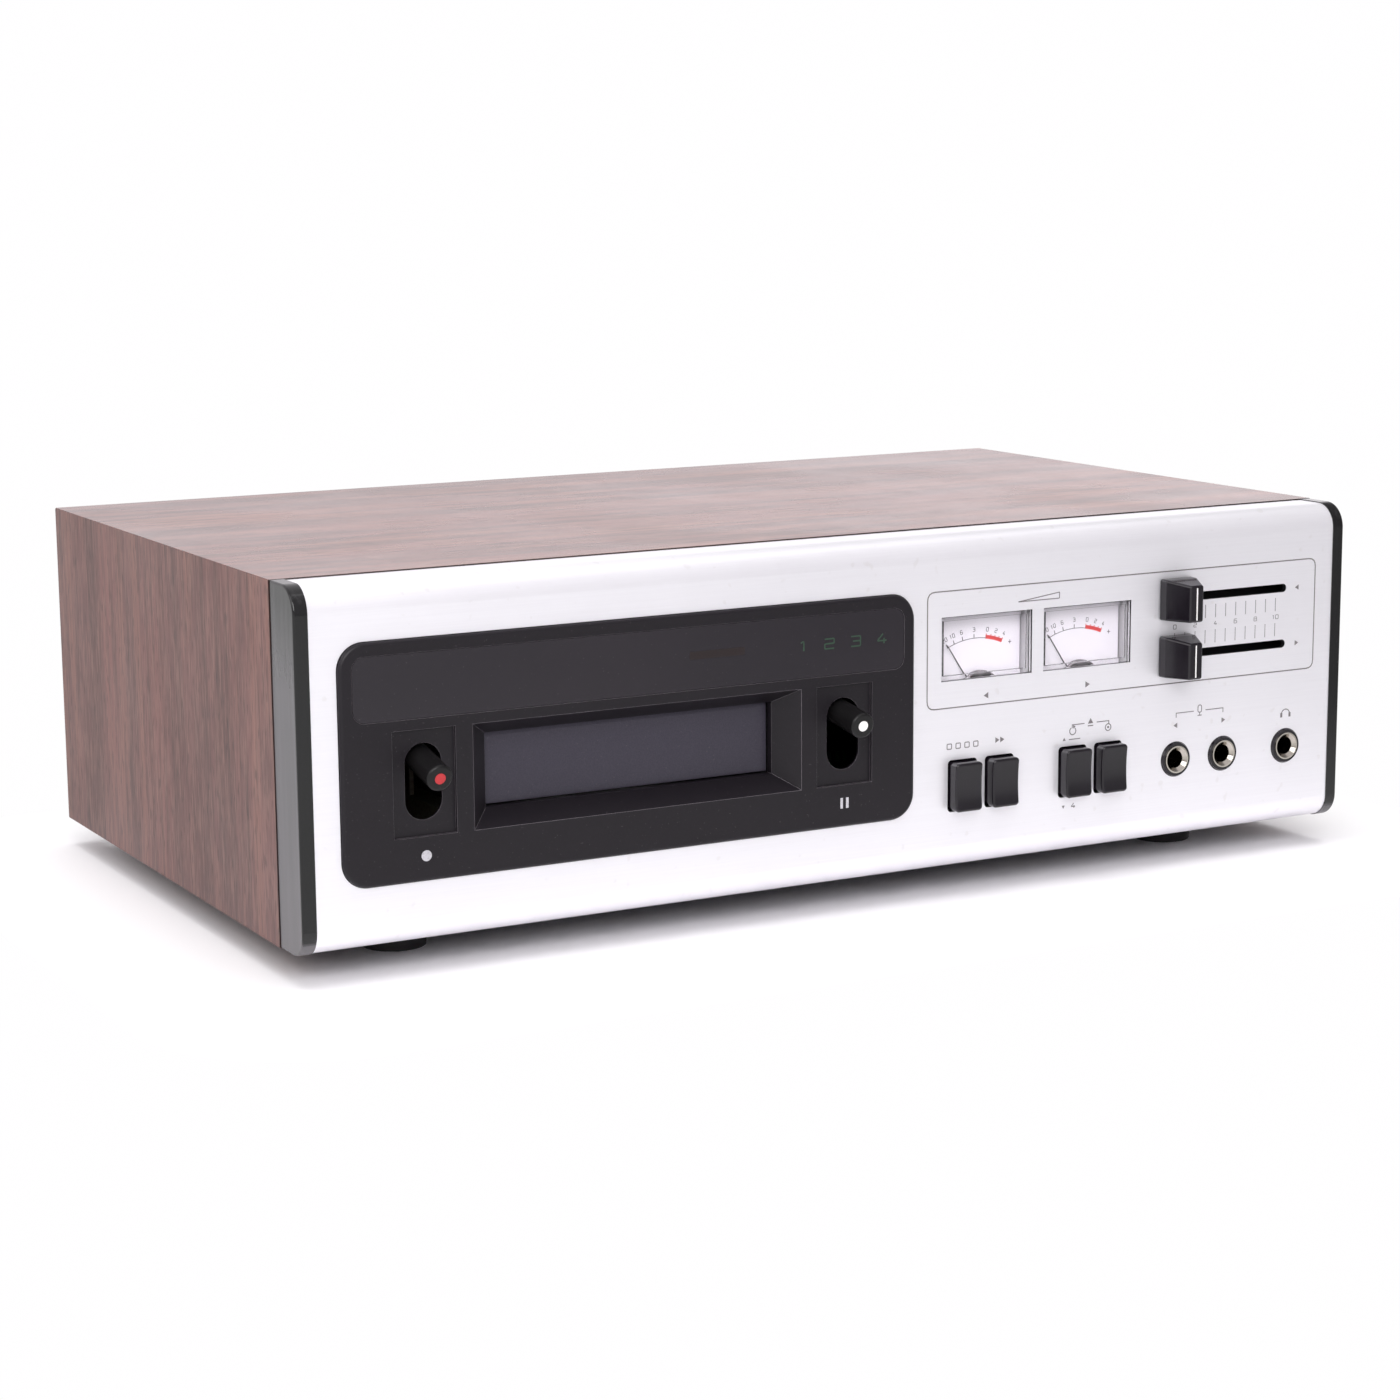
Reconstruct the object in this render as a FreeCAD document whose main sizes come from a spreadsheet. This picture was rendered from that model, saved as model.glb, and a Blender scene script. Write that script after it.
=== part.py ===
import FreeCAD, Part
import math
import os

import Sketcher

# Eight-track record deck in a walnut sleeve.  Millimetres and degrees.
# Frame: +X to the right of someone facing the deck, +Y to the rear, +Z up.
# The origin is under the middle of the deck, on the surface that its feet stand on.
# Sizes named *_depth_at lie behind the front panel's face; sizes named *_height_at
# lie above the lower edge of the walnut; sizes named *_x lie right of the middle.

SIZES = {
    # walnut sleeve and its feet
    "side_reveal": 5.0,
    "cabinet_height": 116.4,
    "cabinet_length": 219.0,
    "board_thickness": 12.0,
    "batten_side": 10.0,
    "foot_height": 10.0,
    "foot_radius": 12.0,
    "foot_taper": 1.5,
    "foot_from_side": 48.0,
    "foot_from_end": 23.0,
    # aluminium front panel and its end caps
    "panel_projection": 19.0,
    "panel_reveal": 0.4,
    "panel_wall": 2.0,
    "panel_corner": 8.5,
    "cap_thickness": 4.7,
    "cap_proud": 0.3,
    "cap_edge": 0.7,
    "cap_plug_length": 4.5,
    "cap_plug_gap": 0.2,
    # deck bezel
    "deck_from_end": 8.9,
    "bezel_width": 207.4,
    "bezel_height_at": 20.8,
    "bezel_corner": 8.7,
    "bezel_proud": 1.5,
    "bezel_edge": 1.2,
    "bezel_wall": 2.3,
    "bezel_flange": 4.0,
    "bezel_flange_thickness": 2.0,
    "bezel_gap": 0.2,
    "bezel_rib": 1.6,
    # header window over the lamps
    "header_height": 20.8,
    "header_margin": 4.3,
    "header_above_funnel": 3.4,
    "header_corner": 4.0,
    "header_thickness": 1.5,
    "header_sink": 0.1,
    "header_gap": 0.15,
    "lamp_radius": 2.2,
    "lamp_gap": 0.2,
    "lamp_height_at": 83.5,
    "lamp_from_header_end": 8.8,
    "lamp_pitch": 10.2,
    "record_lamp_from_lamps": 32.1,
    "lamp_strip_height": 9.0,
    "lamp_strip_thickness": 6.0,
    "lamp_strip_margin": 5.0,
    # cartridge funnel, mouth, guide and door
    "funnel_flare": 7.25,
    "funnel_above_mouth": 4.7,
    "funnel_below_mouth": 5.1,
    "mouth_width": 104.3,
    "mouth_height": 24.2,
    "mouth_height_at": 40.3,
    "mouth_depth_at": 6.0,
    "throat_depth_at": 8.6,
    "throat_wall": 4.0,
    "guide_wall": 1.5,
    "guide_side_gap": 0.85,
    "guide_floor_gap": 0.4,
    "guide_head_room": 5.1,
    "guide_length": 79.0,
    "door_thickness": 2.0,
    "door_side_gap": 0.4,
    "door_foot_gap": 0.5,
    "door_clear": 0.4,
    "door_barrel_radius": 2.5,
    "door_pin_radius": 1.2,
    "door_pin_rise": 2.4,
    "door_pin_set_back": 3.2,
    "door_bend": 1.8,
    "running_gap": 0.05,
    # record and pause levers
    "lever_well_gap": 5.9,
    "lever_well_width": 21.4,
    "lever_well_sink": 1.2,
    "lever_slot_width": 12.5,
    "lever_slot_height": 24.4,
    "lever_radius": 4.35,
    "lever_edge": 0.9,
    "lever_reach": 13.4,
    "lever_length": 68.0,
    "lever_peg_length": 26.0,
    "lever_arm_height": 7.0,
    "lever_arm_thickness": 3.0,
    "lever_hub_radius": 4.8,
    "lever_hub_width": 6.0,
    "record_tip_height_at": 55.6,
    "record_tilt": 13.0,
    "pause_tip_height_at": 57.1,
    "pause_tilt": 9.0,
    "dot_radius": 1.78,
    "dot_sink": 1.0,
    "dot_proud": 0.1,
    "pivot_radius": 2.0,
    "pivot_shoulder": 3.6,
    "pivot_end_gap": 0.3,
    # level meters
    "meter_from_deck": 10.3,
    "meter_spacing": 2.4,
    "meter_window_width": 37.0,
    "meter_window_height": 22.1,
    "meter_window_height_at": 66.2,
    "meter_gap": 0.3,
    "meter_set_back": 0.4,
    "lens_margin": 1.2,
    "lens_skirt": 13.0,
    "lens_wall": 1.3,
    "lens_length": 6.1,
    "meter_case_length": 14.0,
    "meter_flange": 3.0,
    "dial_thickness": 0.6,
    "needle_pivot_height_at": 58.9,
    "needle_length": 22.2,
    "needle_tail": 3.2,
    "needle_width": 0.45,
    "needle_thickness": 0.3,
    "needle_rest": 33.4,
    "needle_post_radius": 1.0,
    "needle_hub_radius": 2.2,
    "needle_hub_length": 1.0,
    "needle_stand_off": 0.4,
    "needle_cover_radius": 9.2,
    "needle_cover_thickness": 1.0,
    # record level sliders
    "slider_from_meters": 13.1,
    "slider_from_end": 20.75,
    "slider_travel": 44.75,
    "slider_upper_height_at": 87.4,
    "slider_lower_height_at": 67.1,
    "slider_slot_height": 3.0,
    "slider_slot_margin": 4.8,
    "knob_base_width": 14.0,
    "knob_base_height": 14.6,
    "knob_front_width": 5.4,
    "knob_front_height": 13.0,
    "knob_front_drop": 0.6,
    "knob_reach": 12.5,
    "knob_gap": 0.5,
    "knob_edge": 0.9,
    "tang_width": 5.0,
    "tang_thickness": 1.6,
    "tang_in_knob": 6.0,
    "tang_in_pot": 5.0,
    "pot_height": 10.0,
    "pot_length": 70.0,
    "pot_depth": 10.0,
    "pot_slot_height": 2.6,
    # push buttons and their switches
    "button_width": 10.7,
    "button_height": 16.9,
    "button_height_at": 29.75,
    "button_reach": 5.2,
    "button_corner": 1.4,
    "button_edge": 0.8,
    "button_gap": 0.6,
    "button_dish_radius": 55.0,
    "button_dish": 0.8,
    "button_skirt": 8.0,
    "button_from_deck": 20.3,
    "button_pitch": 15.1,
    "button_group_pitch": 45.8,
    "stem_side": 5.0,
    "stem_length": 21.0,
    "stem_gap": 0.3,
    "switch_margin": 4.0,
    "switch_height": 18.0,
    "switch_depth": 25.0,
    "switch_wall": 1.5,
    # jacks
    "jack_height_at": 29.4,
    "jack_from_end": 19.6,
    "phones_from_mic": 28.5,
    "mic_jack_pitch": 20.8,
    "plug_bore_radius": 3.2,
    "ferrule_radius": 4.9,
    "ferrule_reach": 1.1,
    "ferrule_flare": 1.2,
    "bush_length": 14.0,
    "ring_nut_radius": 6.4,
    "ring_nut_thickness": 0.7,
    "ring_nut_slope": 0.5,
    "jack_tip_radius": 3.7,
    "jack_body_width": 15.0,
    "jack_body_height": 18.0,
    "jack_body_length": 32.0,
    "jack_hole_gap": 0.1,
    # sheet metal
    "sheet": 1.2,
    "sheet_gap": 0.4,
    "sub_panel_depth_at": 12.0,
    "cut_out_gap": 0.5,
    "rear_inset": 12.0,
    "rear_flange": 12.0,
    "vent_width": 3.0,
    "vent_height": 34.0,
    "vent_pitch": 8.0,
    "vent_count": 9.0,
    "floor_vent_from_side": 53.0,
    "screw_head_radius": 3.2,
    "screw_head_height": 1.8,
    "screw_radius": 1.5,
    "screw_length": 8.0,
    # sockets at the rear
    "socket_from_side": 81.0,
    "socket_pitch": 20.0,
    "socket_height_at": 54.0,
    "socket_radius": 4.15,
    "socket_reach": 8.5,
    "socket_bore_radius": 1.7,
    "socket_plate_thickness": 1.5,
    "socket_plate_margin": 9.0,
    "gland_from_side": 41.0,
    "gland_height_at": 30.0,
    "gland_radius": 6.0,
    "gland_flange_radius": 8.5,
    "gland_flange": 2.0,
    "gland_bore_radius": 3.6,
    "gland_length": 14.0,
    # tape transport
    "frame_clear": 6.0,
    "frame_length": 170.0,
    "frame_wall": 1.5,
    "frame_depth_at": 14.5,
    "deck_plate": 2.0,
    "ear_width": 18.0,
    "ear_margin": 7.0,
    "flywheel_clear": 1.5,
    "capstan_depth_at": 97.0,
    "capstan_radius": 2.5,
    "capstan_top": 22.0,
    "capstan_foot": 4.0,
    "shaft_gap": 0.03,
    "bearing_radius": 6.0,
    "bearing_above": 6.0,
    "bearing_below": 8.0,
    "bearing_flange_radius": 8.5,
    "bearing_flange": 1.8,
    "flywheel_radius": 31.0,
    "flywheel_thickness": 12.0,
    "flywheel_height_at": 12.0,
    "flywheel_hub_radius": 9.0,
    "flywheel_rim": 6.0,
    "flywheel_recess": 3.5,
    "motor_clear": 9.5,
    "motor_depth_at": 152.0,
    "motor_radius": 24.0,
    "motor_height": 34.0,
    "motor_edge": 3.0,
    "motor_shaft_radius": 1.5,
    "motor_shaft_in": 18.0,
    "pulley_radius": 6.2,
    "belt_width": 5.0,
    "belt_thickness": 1.0,
    "belt_gap": 0.35,
    "head_width": 14.0,
    "head_length": 11.0,
    "head_height": 17.0,
    "head_nose": 1.5,
    "head_shift": -4.0,
    "head_post_radius": 1.5,
    "head_collar_radius": 3.0,
    "head_collar_height": 2.0,
    "head_lift": 2.4,
    # electronics
    "board_from_transformer": 17.0,
    "board_depth_at": 130.0,
    "board_width": 110.0,
    "board_length": 120.0,
    "board_height_at": 15.0,
    "circuit_thickness": 1.6,
    "stand_off_radius": 3.0,
    "stand_off_inset": 6.0,
    "capacitor_radius": 8.0,
    "capacitor_height": 26.0,
    "capacitor_pitch": 20.0,
    "chip_width": 8.0,
    "chip_length": 20.0,
    "chip_height": 4.0,
    "chip_pitch": 26.0,
    "heat_sink_height": 30.0,
    "transformer_from_side": 11.0,
    "transformer_from_rear": 46.0,
    "transformer_width": 56.0,
    "transformer_length": 34.0,
    "transformer_height": 48.0,
    "coil_wall": 9.0,
    "coil_overhang": 9.0,
}

FRONT, SIDE, PLAN = "XZ_Plane", "YZ_Plane", "XY_Plane"
X_AXIS = FreeCAD.Vector(1, 0, 0)
ORIGIN = FreeCAD.Vector(0, 0, 0)

doc = FreeCAD.newDocument("record_deck")
sheet = doc.addObject("Spreadsheet::Sheet", "dims")
for row, (alias, number) in enumerate(SIZES.items(), start=1):
    sheet.set(f"A{row}", alias)
    sheet.set(f"B{row}", str(number))
    sheet.setAlias(f"B{row}", alias)
doc.recompute()


class Size:
    """A number together with the sheet expression that gives it."""

    def __init__(self, text, value):
        self.text = text
        self.value = value

    def __add__(self, other):
        other = as_size(other)
        return Size(f"({self.text} + {other.text})", self.value + other.value)

    def __sub__(self, other):
        other = as_size(other)
        return Size(f"({self.text} - {other.text})", self.value - other.value)

    def __mul__(self, other):
        other = as_size(other)
        return Size(f"({self.text} * {other.text})", self.value * other.value)

    def __truediv__(self, other):
        other = as_size(other)
        return Size(f"({self.text} / {other.text})", self.value / other.value)

    def __radd__(self, other):
        return as_size(other) + self

    def __rsub__(self, other):
        return as_size(other) - self

    def __rmul__(self, other):
        return as_size(other) * self

    def __neg__(self):
        return 0 - self


def as_size(thing):
    return thing if isinstance(thing, Size) else Size(repr(float(thing)), float(thing))


def sine(angle):
    return Size(f"sin({angle.text} * 1 deg)", math.sin(math.radians(angle.value)))


def cosine(angle):
    return Size(f"cos({angle.text} * 1 deg)", math.cos(math.radians(angle.value)))


class Dimensions:
    """The sheet's cells as attributes."""


dim = Dimensions()
for alias in SIZES:
    setattr(dim, alias, Size(f"dims.{alias}", float(sheet.get(alias))))

# ---------------------------------------------------------------- places that follow

front_reach = dim.lever_reach + dim.lever_radius * sine(dim.record_tilt)
rear_end = dim.panel_projection + dim.cabinet_length
face_y = (front_reach - rear_end) / 2
base_z = dim.foot_height
seam = dim.panel_projection
rear_face = rear_end - dim.rear_inset
panel_low = dim.panel_reveal
panel_high = dim.cabinet_height - dim.panel_reveal
plate_low = panel_low + dim.panel_wall
plate_top = plate_low + dim.sheet

# The deck, both meters and the sliders stand side by side: they set the panel's length,
# and the panel sets the cabinet's width.
lens_half = dim.meter_window_width / 2 + dim.lens_margin
deck_span = dim.deck_from_end + dim.bezel_width
meter_span = dim.meter_from_deck + 4 * lens_half + dim.meter_spacing
slot_length = dim.slider_travel + 2 * dim.slider_slot_margin
slider_span = dim.slider_from_meters + slot_length + dim.slider_from_end
panel_length = deck_span + meter_span + slider_span
panel_half = panel_length / 2
cabinet_half = panel_half + dim.side_reveal
inner_half = cabinet_half - dim.board_thickness
plate_half = inner_half - dim.sheet_gap
bezel_left = dim.deck_from_end - panel_half
bezel_right = bezel_left + dim.bezel_width
deck_x = bezel_left + dim.bezel_width / 2
meter_first = bezel_right + dim.meter_from_deck + lens_half
meter_pitch = 2 * lens_half + dim.meter_spacing
slider_right = panel_half - dim.slider_from_end
slider_left = slider_right - slot_length
slider_zero = slider_left + dim.slider_slot_margin
button_first = bezel_right + dim.button_from_deck
phones_x = panel_half - dim.jack_from_end
mic_first = phones_x - dim.phones_from_mic - dim.mic_jack_pitch

mouth_half = dim.mouth_width / 2
mouth_high = dim.mouth_height_at + dim.mouth_height
funnel_half = mouth_half + dim.funnel_flare
funnel_low = dim.mouth_height_at - dim.funnel_below_mouth
funnel_high = mouth_high + dim.funnel_above_mouth
lever_half_spacing = funnel_half + dim.lever_well_gap + dim.lever_well_width / 2
header_low = funnel_high + dim.header_above_funnel
header_half = dim.bezel_width / 2 - dim.header_margin
bezel_low = dim.bezel_height_at
bezel_high = header_low + dim.header_height + dim.header_margin
bezel_face = -dim.bezel_proud
bezel_inside = bezel_face + dim.bezel_wall
bezel_rear = dim.panel_wall + dim.bezel_flange_thickness
lamp_first = deck_x + header_half - dim.lamp_from_header_end - 3 * dim.lamp_pitch
guide_half = mouth_half + dim.guide_side_gap
guide_floor = dim.mouth_height_at - dim.guide_floor_gap
guide_low = guide_floor - dim.guide_wall
guide_roof = mouth_high + dim.guide_head_room
guide_end = dim.throat_depth_at + dim.guide_length
door_pin_height = mouth_high + dim.door_pin_rise
door_pin_depth = dim.throat_depth_at + dim.door_clear + dim.door_pin_set_back
sub_panel_rear = dim.sub_panel_depth_at + dim.sheet
slot_radius = dim.lever_slot_width / 2
slot_middle = dim.mouth_height_at + dim.lever_slot_height / 2

frame_half = guide_half + dim.guide_wall + dim.frame_clear + dim.frame_wall
frame_inside = frame_half - dim.frame_wall
deck_top = guide_low
deck_low = deck_top - dim.deck_plate
capstan_x = deck_x + frame_inside - dim.flywheel_clear - dim.flywheel_radius
motor_x = deck_x - frame_inside + dim.motor_clear + dim.motor_radius
head_x = deck_x + dim.head_shift
head_post_depth = guide_end + 2 * dim.head_nose + dim.head_length / 2
flywheel_top = dim.flywheel_height_at + dim.flywheel_thickness
belt_low = dim.flywheel_height_at + (dim.flywheel_thickness - dim.belt_width) / 2
transformer_x = inner_half - dim.transformer_from_side - dim.transformer_width / 2
transformer_depth = rear_face - dim.transformer_from_rear
board_x = (transformer_x - dim.transformer_width / 2 - dim.board_from_transformer
           - dim.board_width / 2)
socket_x = inner_half - dim.socket_from_side
gland_x = dim.gland_from_side - inner_half
lens_low = dim.meter_window_height_at - dim.lens_skirt
lens_high = dim.meter_window_height_at + dim.meter_window_height + dim.lens_margin
lens_rear = dim.panel_wall + dim.lens_length
stem_rear = dim.button_skirt + dim.stem_length
PARTS = []


# ---------------------------------------------------------------- helpers


def bind(thing, **targets):
    """Tie properties to sheet expressions; __ in a name stands for a dot."""
    for name, size in targets.items():
        thing.setExpression(name.replace("__", "."), as_size(size).text)


def place(thing, x, depth, height):
    """Put an object's origin right of the middle, behind the face and above the walnut's edge."""
    bind(
        thing,
        Placement__Base__x=x,
        Placement__Base__y=face_y + depth,
        Placement__Base__z=base_z + height,
    )


def tilt(thing, angle):
    """Turn an object about the X axis."""
    thing.Placement = FreeCAD.Placement(ORIGIN, FreeCAD.Rotation(X_AXIS, angle.value))
    thing.setExpression("Placement.Rotation.Angle", f"{angle.text} * 1 deg")


def keep(thing, name):
    """Name a finished sub-part and list it for writing."""
    thing.Label = name
    PARTS.append(thing)
    return thing


def block(name, x, depth, height):
    """Box between pairs of limits."""
    thing = doc.addObject("Part::Box", name)
    bind(thing, Length=x[1] - x[0], Width=depth[1] - depth[0], Height=height[1] - height[0])
    place(thing, x[0], depth[0], height[0])
    return thing


def upright(name, radius, x, depth, height):
    """Vertical cylinder between a pair of heights."""
    thing = doc.addObject("Part::Cylinder", name)
    bind(thing, Radius=radius, Height=height[1] - height[0])
    place(thing, x, depth, height[0])
    return thing


def rod(name, radius, x, depth, height):
    """Cylinder that runs from front to rear between a pair of depths."""
    thing = doc.addObject("Part::Cylinder", name)
    thing.Placement = FreeCAD.Placement(ORIGIN, FreeCAD.Rotation(X_AXIS, -90))
    bind(thing, Radius=radius, Height=depth[1] - depth[0])
    place(thing, x, depth[0], height)
    return thing


def flare(name, front_radius, rear_radius, x, depth, height):
    """Cone that runs from front to rear between a pair of depths."""
    thing = doc.addObject("Part::Cone", name)
    thing.Placement = FreeCAD.Placement(ORIGIN, FreeCAD.Rotation(X_AXIS, -90))
    bind(thing, Radius1=front_radius, Radius2=rear_radius, Height=depth[1] - depth[0])
    place(thing, x, depth[0], height)
    return thing


def crosswise(name, radius, x, depth, height):
    """Cylinder that runs from left to right between a pair of x limits."""
    thing = doc.addObject("Part::Cylinder", name)
    thing.Placement = FreeCAD.Placement(ORIGIN, FreeCAD.Rotation(FreeCAD.Vector(0, 1, 0), 90))
    bind(thing, Radius=radius, Height=x[1] - x[0])
    place(thing, x[0], depth, height)
    return thing


def fuse(name, *things):
    joined = doc.addObject("Part::MultiFuse", name)
    joined.Shapes = list(things)
    return joined


def cut(name, base, *tools):
    result = doc.addObject("Part::Cut", name)
    result.Base = base
    result.Tool = tools[0] if len(tools) == 1 else fuse(name + "_tools", *tools)
    return result


def new_body(name, x=0, depth=0, height=0):
    body = doc.addObject("PartDesign::Body", name)
    place(body, x, depth, height)
    return body


def sketch_on(body, name, plane, offset):
    """Sketch on an origin plane of the body, moved along the plane's normal."""
    sketch = body.newObject("Sketcher::SketchObject", f"{body.Name}_{name}_sketch")
    support = next(f for f in body.Origin.OriginFeatures if f.Role == plane)
    sketch.AttachmentSupport = [(support, "")]
    sketch.MapMode = "FlatFace"
    bind(sketch, AttachmentOffset__Base__z=offset)
    return sketch


def constrain(sketch, kind, places, size):
    """Add one driven constraint."""
    index = sketch.addConstraint(Sketcher.Constraint(kind, *places, size.value))
    sketch.renameConstraint(index, f"{kind}{index}")
    sketch.setExpression(f"Constraints.{kind}{index}", size.text)


def outline(left, right, low, high, corner=None):
    """Rectangle, with rounded corners where a corner radius is given."""
    left, right, low, high = (as_size(side) for side in (left, right, low, high))

    def draw(sketch):
        first = sketch.GeometryCount
        inset = corner.value if corner else 0.0
        xs = (left.value, left.value + inset, right.value - inset, right.value)
        zs = (low.value, low.value + inset, high.value - inset, high.value)
        ends = (
            ((xs[1], zs[0]), (xs[2], zs[0])),
            ((xs[3], zs[1]), (xs[3], zs[2])),
            ((xs[2], zs[3]), (xs[1], zs[3])),
            ((xs[0], zs[2]), (xs[0], zs[1])),
        )
        for start, end in ends:
            line = Part.LineSegment(FreeCAD.Vector(*start, 0), FreeCAD.Vector(*end, 0))
            sketch.addGeometry(line, False)
        sides = [first + n for n in range(4)]
        rules = [Sketcher.Constraint("Horizontal", sides[n]) for n in (0, 2)]
        rules += [Sketcher.Constraint("Vertical", sides[n]) for n in (1, 3)]
        if corner:
            centres = ((xs[2], zs[1]), (xs[2], zs[2]), (xs[1], zs[2]), (xs[1], zs[1]))
            for quarter, centre in enumerate(centres):
                circle = Part.Circle(FreeCAD.Vector(*centre, 0), FreeCAD.Vector(0, 0, 1), inset)
                begin = (quarter - 1) * math.pi / 2
                sketch.addGeometry(Part.ArcOfCircle(circle, begin, begin + math.pi / 2), False)
            for n in range(4):
                arc = first + 4 + n
                rules.append(Sketcher.Constraint("Tangent", sides[n], 2, arc, 1))
                rules.append(Sketcher.Constraint("Tangent", arc, 2, sides[(n + 1) % 4], 1))
                if n:
                    rules.append(Sketcher.Constraint("Equal", first + 4, arc))
        else:
            for n in range(4):
                rules.append(Sketcher.Constraint("Coincident", sides[n], 2, sides[(n + 1) % 4], 1))
        sketch.addConstraint(rules)
        if corner:
            constrain(sketch, "Radius", (first + 4,), corner)
        constrain(sketch, "DistanceX", (-1, 1, sides[3], 1), left)
        constrain(sketch, "DistanceX", (-1, 1, sides[1], 1), right)
        constrain(sketch, "DistanceY", (-1, 1, sides[0], 1), low)
        constrain(sketch, "DistanceY", (-1, 1, sides[2], 1), high)

    return draw


def ring(x, height, radius):
    """Circle."""
    x, height, radius = as_size(x), as_size(height), as_size(radius)

    def draw(sketch):
        centre = FreeCAD.Vector(x.value, height.value, 0)
        circle = Part.Circle(centre, FreeCAD.Vector(0, 0, 1), radius.value)
        index = sketch.addGeometry(circle, False)
        constrain(sketch, "Radius", (index,), radius)
        constrain(sketch, "DistanceX", (-1, 1, index, 3), x)
        constrain(sketch, "DistanceY", (-1, 1, index, 3), height)

    return draw


def round_slot(start, end, radius):
    """Slot with round ends; start and end are its end centres, one beside or above the other."""
    start = tuple(as_size(place) for place in start)
    end = tuple(as_size(place) for place in end)

    def draw(sketch):
        first = sketch.GeometryCount
        across, up = (end[axis].value - start[axis].value for axis in (0, 1))
        heading = math.atan2(up, across)
        arcs = []
        for centre, begin in ((end, heading - math.pi / 2), (start, heading + math.pi / 2)):
            middle = FreeCAD.Vector(centre[0].value, centre[1].value, 0)
            circle = Part.Circle(middle, FreeCAD.Vector(0, 0, 1), radius.value)
            arcs.append(Part.ArcOfCircle(circle, begin, begin + math.pi))
        lines = (
            Part.LineSegment(arcs[0].EndPoint, arcs[1].StartPoint),
            Part.LineSegment(arcs[1].EndPoint, arcs[0].StartPoint),
        )
        for curve in (arcs[0], lines[0], arcs[1], lines[1]):
            sketch.addGeometry(curve, False)
        loop = [first + n for n in range(4)]
        direction = "Vertical" if abs(up) > abs(across) else "Horizontal"
        sketch.addConstraint([Sketcher.Constraint(direction, loop[n]) for n in (1, 3)])
        for n in range(4):
            sketch.addConstraint(Sketcher.Constraint("Tangent", loop[n], 2, loop[(n + 1) % 4], 1))
        constrain(sketch, "Radius", (loop[0],), radius)
        constrain(sketch, "DistanceX", (-1, 1, loop[2], 3), start[0])
        constrain(sketch, "DistanceY", (-1, 1, loop[2], 3), start[1])
        if direction == "Vertical":
            constrain(sketch, "DistanceY", (-1, 1, loop[0], 3), end[1])
        else:
            constrain(sketch, "DistanceX", (-1, 1, loop[0], 3), end[0])

    return draw


def polygon(*corners):
    """Closed outline through corners, each tied to the sheet."""

    def draw(sketch):
        first = sketch.GeometryCount
        count = len(corners)
        points = [FreeCAD.Vector(as_size(a).value, as_size(b).value, 0) for a, b in corners]
        for n in range(count):
            sketch.addGeometry(Part.LineSegment(points[n], points[(n + 1) % count]), False)
        for n in range(count):
            follower = first + (n + 1) % count
            sketch.addConstraint(Sketcher.Constraint("Coincident", first + n, 2, follower, 1))
        for n, (a, b) in enumerate(corners):
            constrain(sketch, "DistanceX", (-1, 1, first + n, 1), as_size(a))
            constrain(sketch, "DistanceY", (-1, 1, first + n, 1), as_size(b))

    return draw


def feature(body, kind, name, plane, offset, length, outlines, reverse):
    sketch = sketch_on(body, name, plane, offset)
    for draw in outlines:
        draw(sketch)
    made = body.newObject(kind, f"{body.Name}_{name}")
    made.Profile = sketch
    made.Reversed = reverse
    bind(made, Length=length)
    return made


def pad(body, name, plane, offset, length, *outlines, reverse=False):
    return feature(body, "PartDesign::Pad", name, plane, offset, length, outlines, reverse)


def pocket(body, name, plane, offset, length, *outlines, reverse=False):
    return feature(body, "PartDesign::Pocket", name, plane, offset, length, outlines, reverse)


def front_pad(body, name, front, rear, *outlines):
    """Solid between two depths behind the face, from outlines seen from the front."""
    return pad(body, name, FRONT, -as_size(rear), as_size(rear) - front, *outlines)


def front_pocket(body, name, front, rear, *outlines):
    """Cut from one depth back to another, from outlines seen from the front."""
    return pocket(body, name, FRONT, -as_size(front), as_size(rear) - front, *outlines)


def loft(body, kind, name, stations):
    """Ruled loft through (depth, outline) stations seen from the front."""
    sketches = []
    for number, (depth, draw) in enumerate(stations):
        sketch = sketch_on(body, f"{name}_{number}", FRONT, -as_size(depth))
        draw(sketch)
        sketches.append(sketch)
    made = body.newObject(kind, f"{body.Name}_{name}")
    made.Profile = sketches[0]
    made.Sections = sketches[1:]
    made.Ruled = True
    return made


def soften(body, name, radius, chosen):
    """Fillet the edges of the body's last feature for which chosen(edge) is true."""
    doc.recompute()
    last = body.Tip
    edges = [f"Edge{n}" for n, edge in enumerate(last.Shape.Edges, start=1) if chosen(edge)]
    made = body.newObject("PartDesign::Fillet", f"{body.Name}_{name}")
    made.Base = (last, edges)
    bind(made, Radius=radius)
    return made


def lies(edge, **limits):
    """True if every coordinate of the edge named in limits stays at the given value."""
    bounds = edge.BoundBox
    for axis, size in limits.items():
        low = getattr(bounds, axis + "Min")
        high = getattr(bounds, axis + "Max")
        if abs(low - as_size(size).value) > 1e-3 or abs(high - as_size(size).value) > 1e-3:
            return False
    return True


def repeat(body, original, axis, length, count, name):
    """Linear pattern of one feature along an origin axis of the body."""
    made = body.newObject("PartDesign::LinearPattern", f"{body.Name}_{name}")
    made.Originals = [original]
    line = next(f for f in body.Origin.OriginFeatures if f.Role == axis)
    made.Direction = (line, [""])
    bind(made, Length=length, Occurrences=count)
    body.Tip = made
    return made


# ---------------------------------------------------------------- walnut sleeve


def walnut_board(name, *corners):
    """Veneered board: a mitred section seen from the front, run to the rear."""
    body = new_body(name)
    front_pad(body, "board", seam, rear_end, polygon(*corners))
    keep(body, name)


def sleeve():
    half = cabinet_half
    top = dim.cabinet_height
    inner_top = top - dim.board_thickness
    walnut_board("top_board", (-half, top), (-inner_half, inner_top), (inner_half, inner_top),
                 (half, top))
    for name, side in (("left_side_board", -1), ("right_side_board", 1)):
        walnut_board(name, (side * half, top), (side * inner_half, inner_top),
                     (side * inner_half, 0), (side * half, 0))


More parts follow.
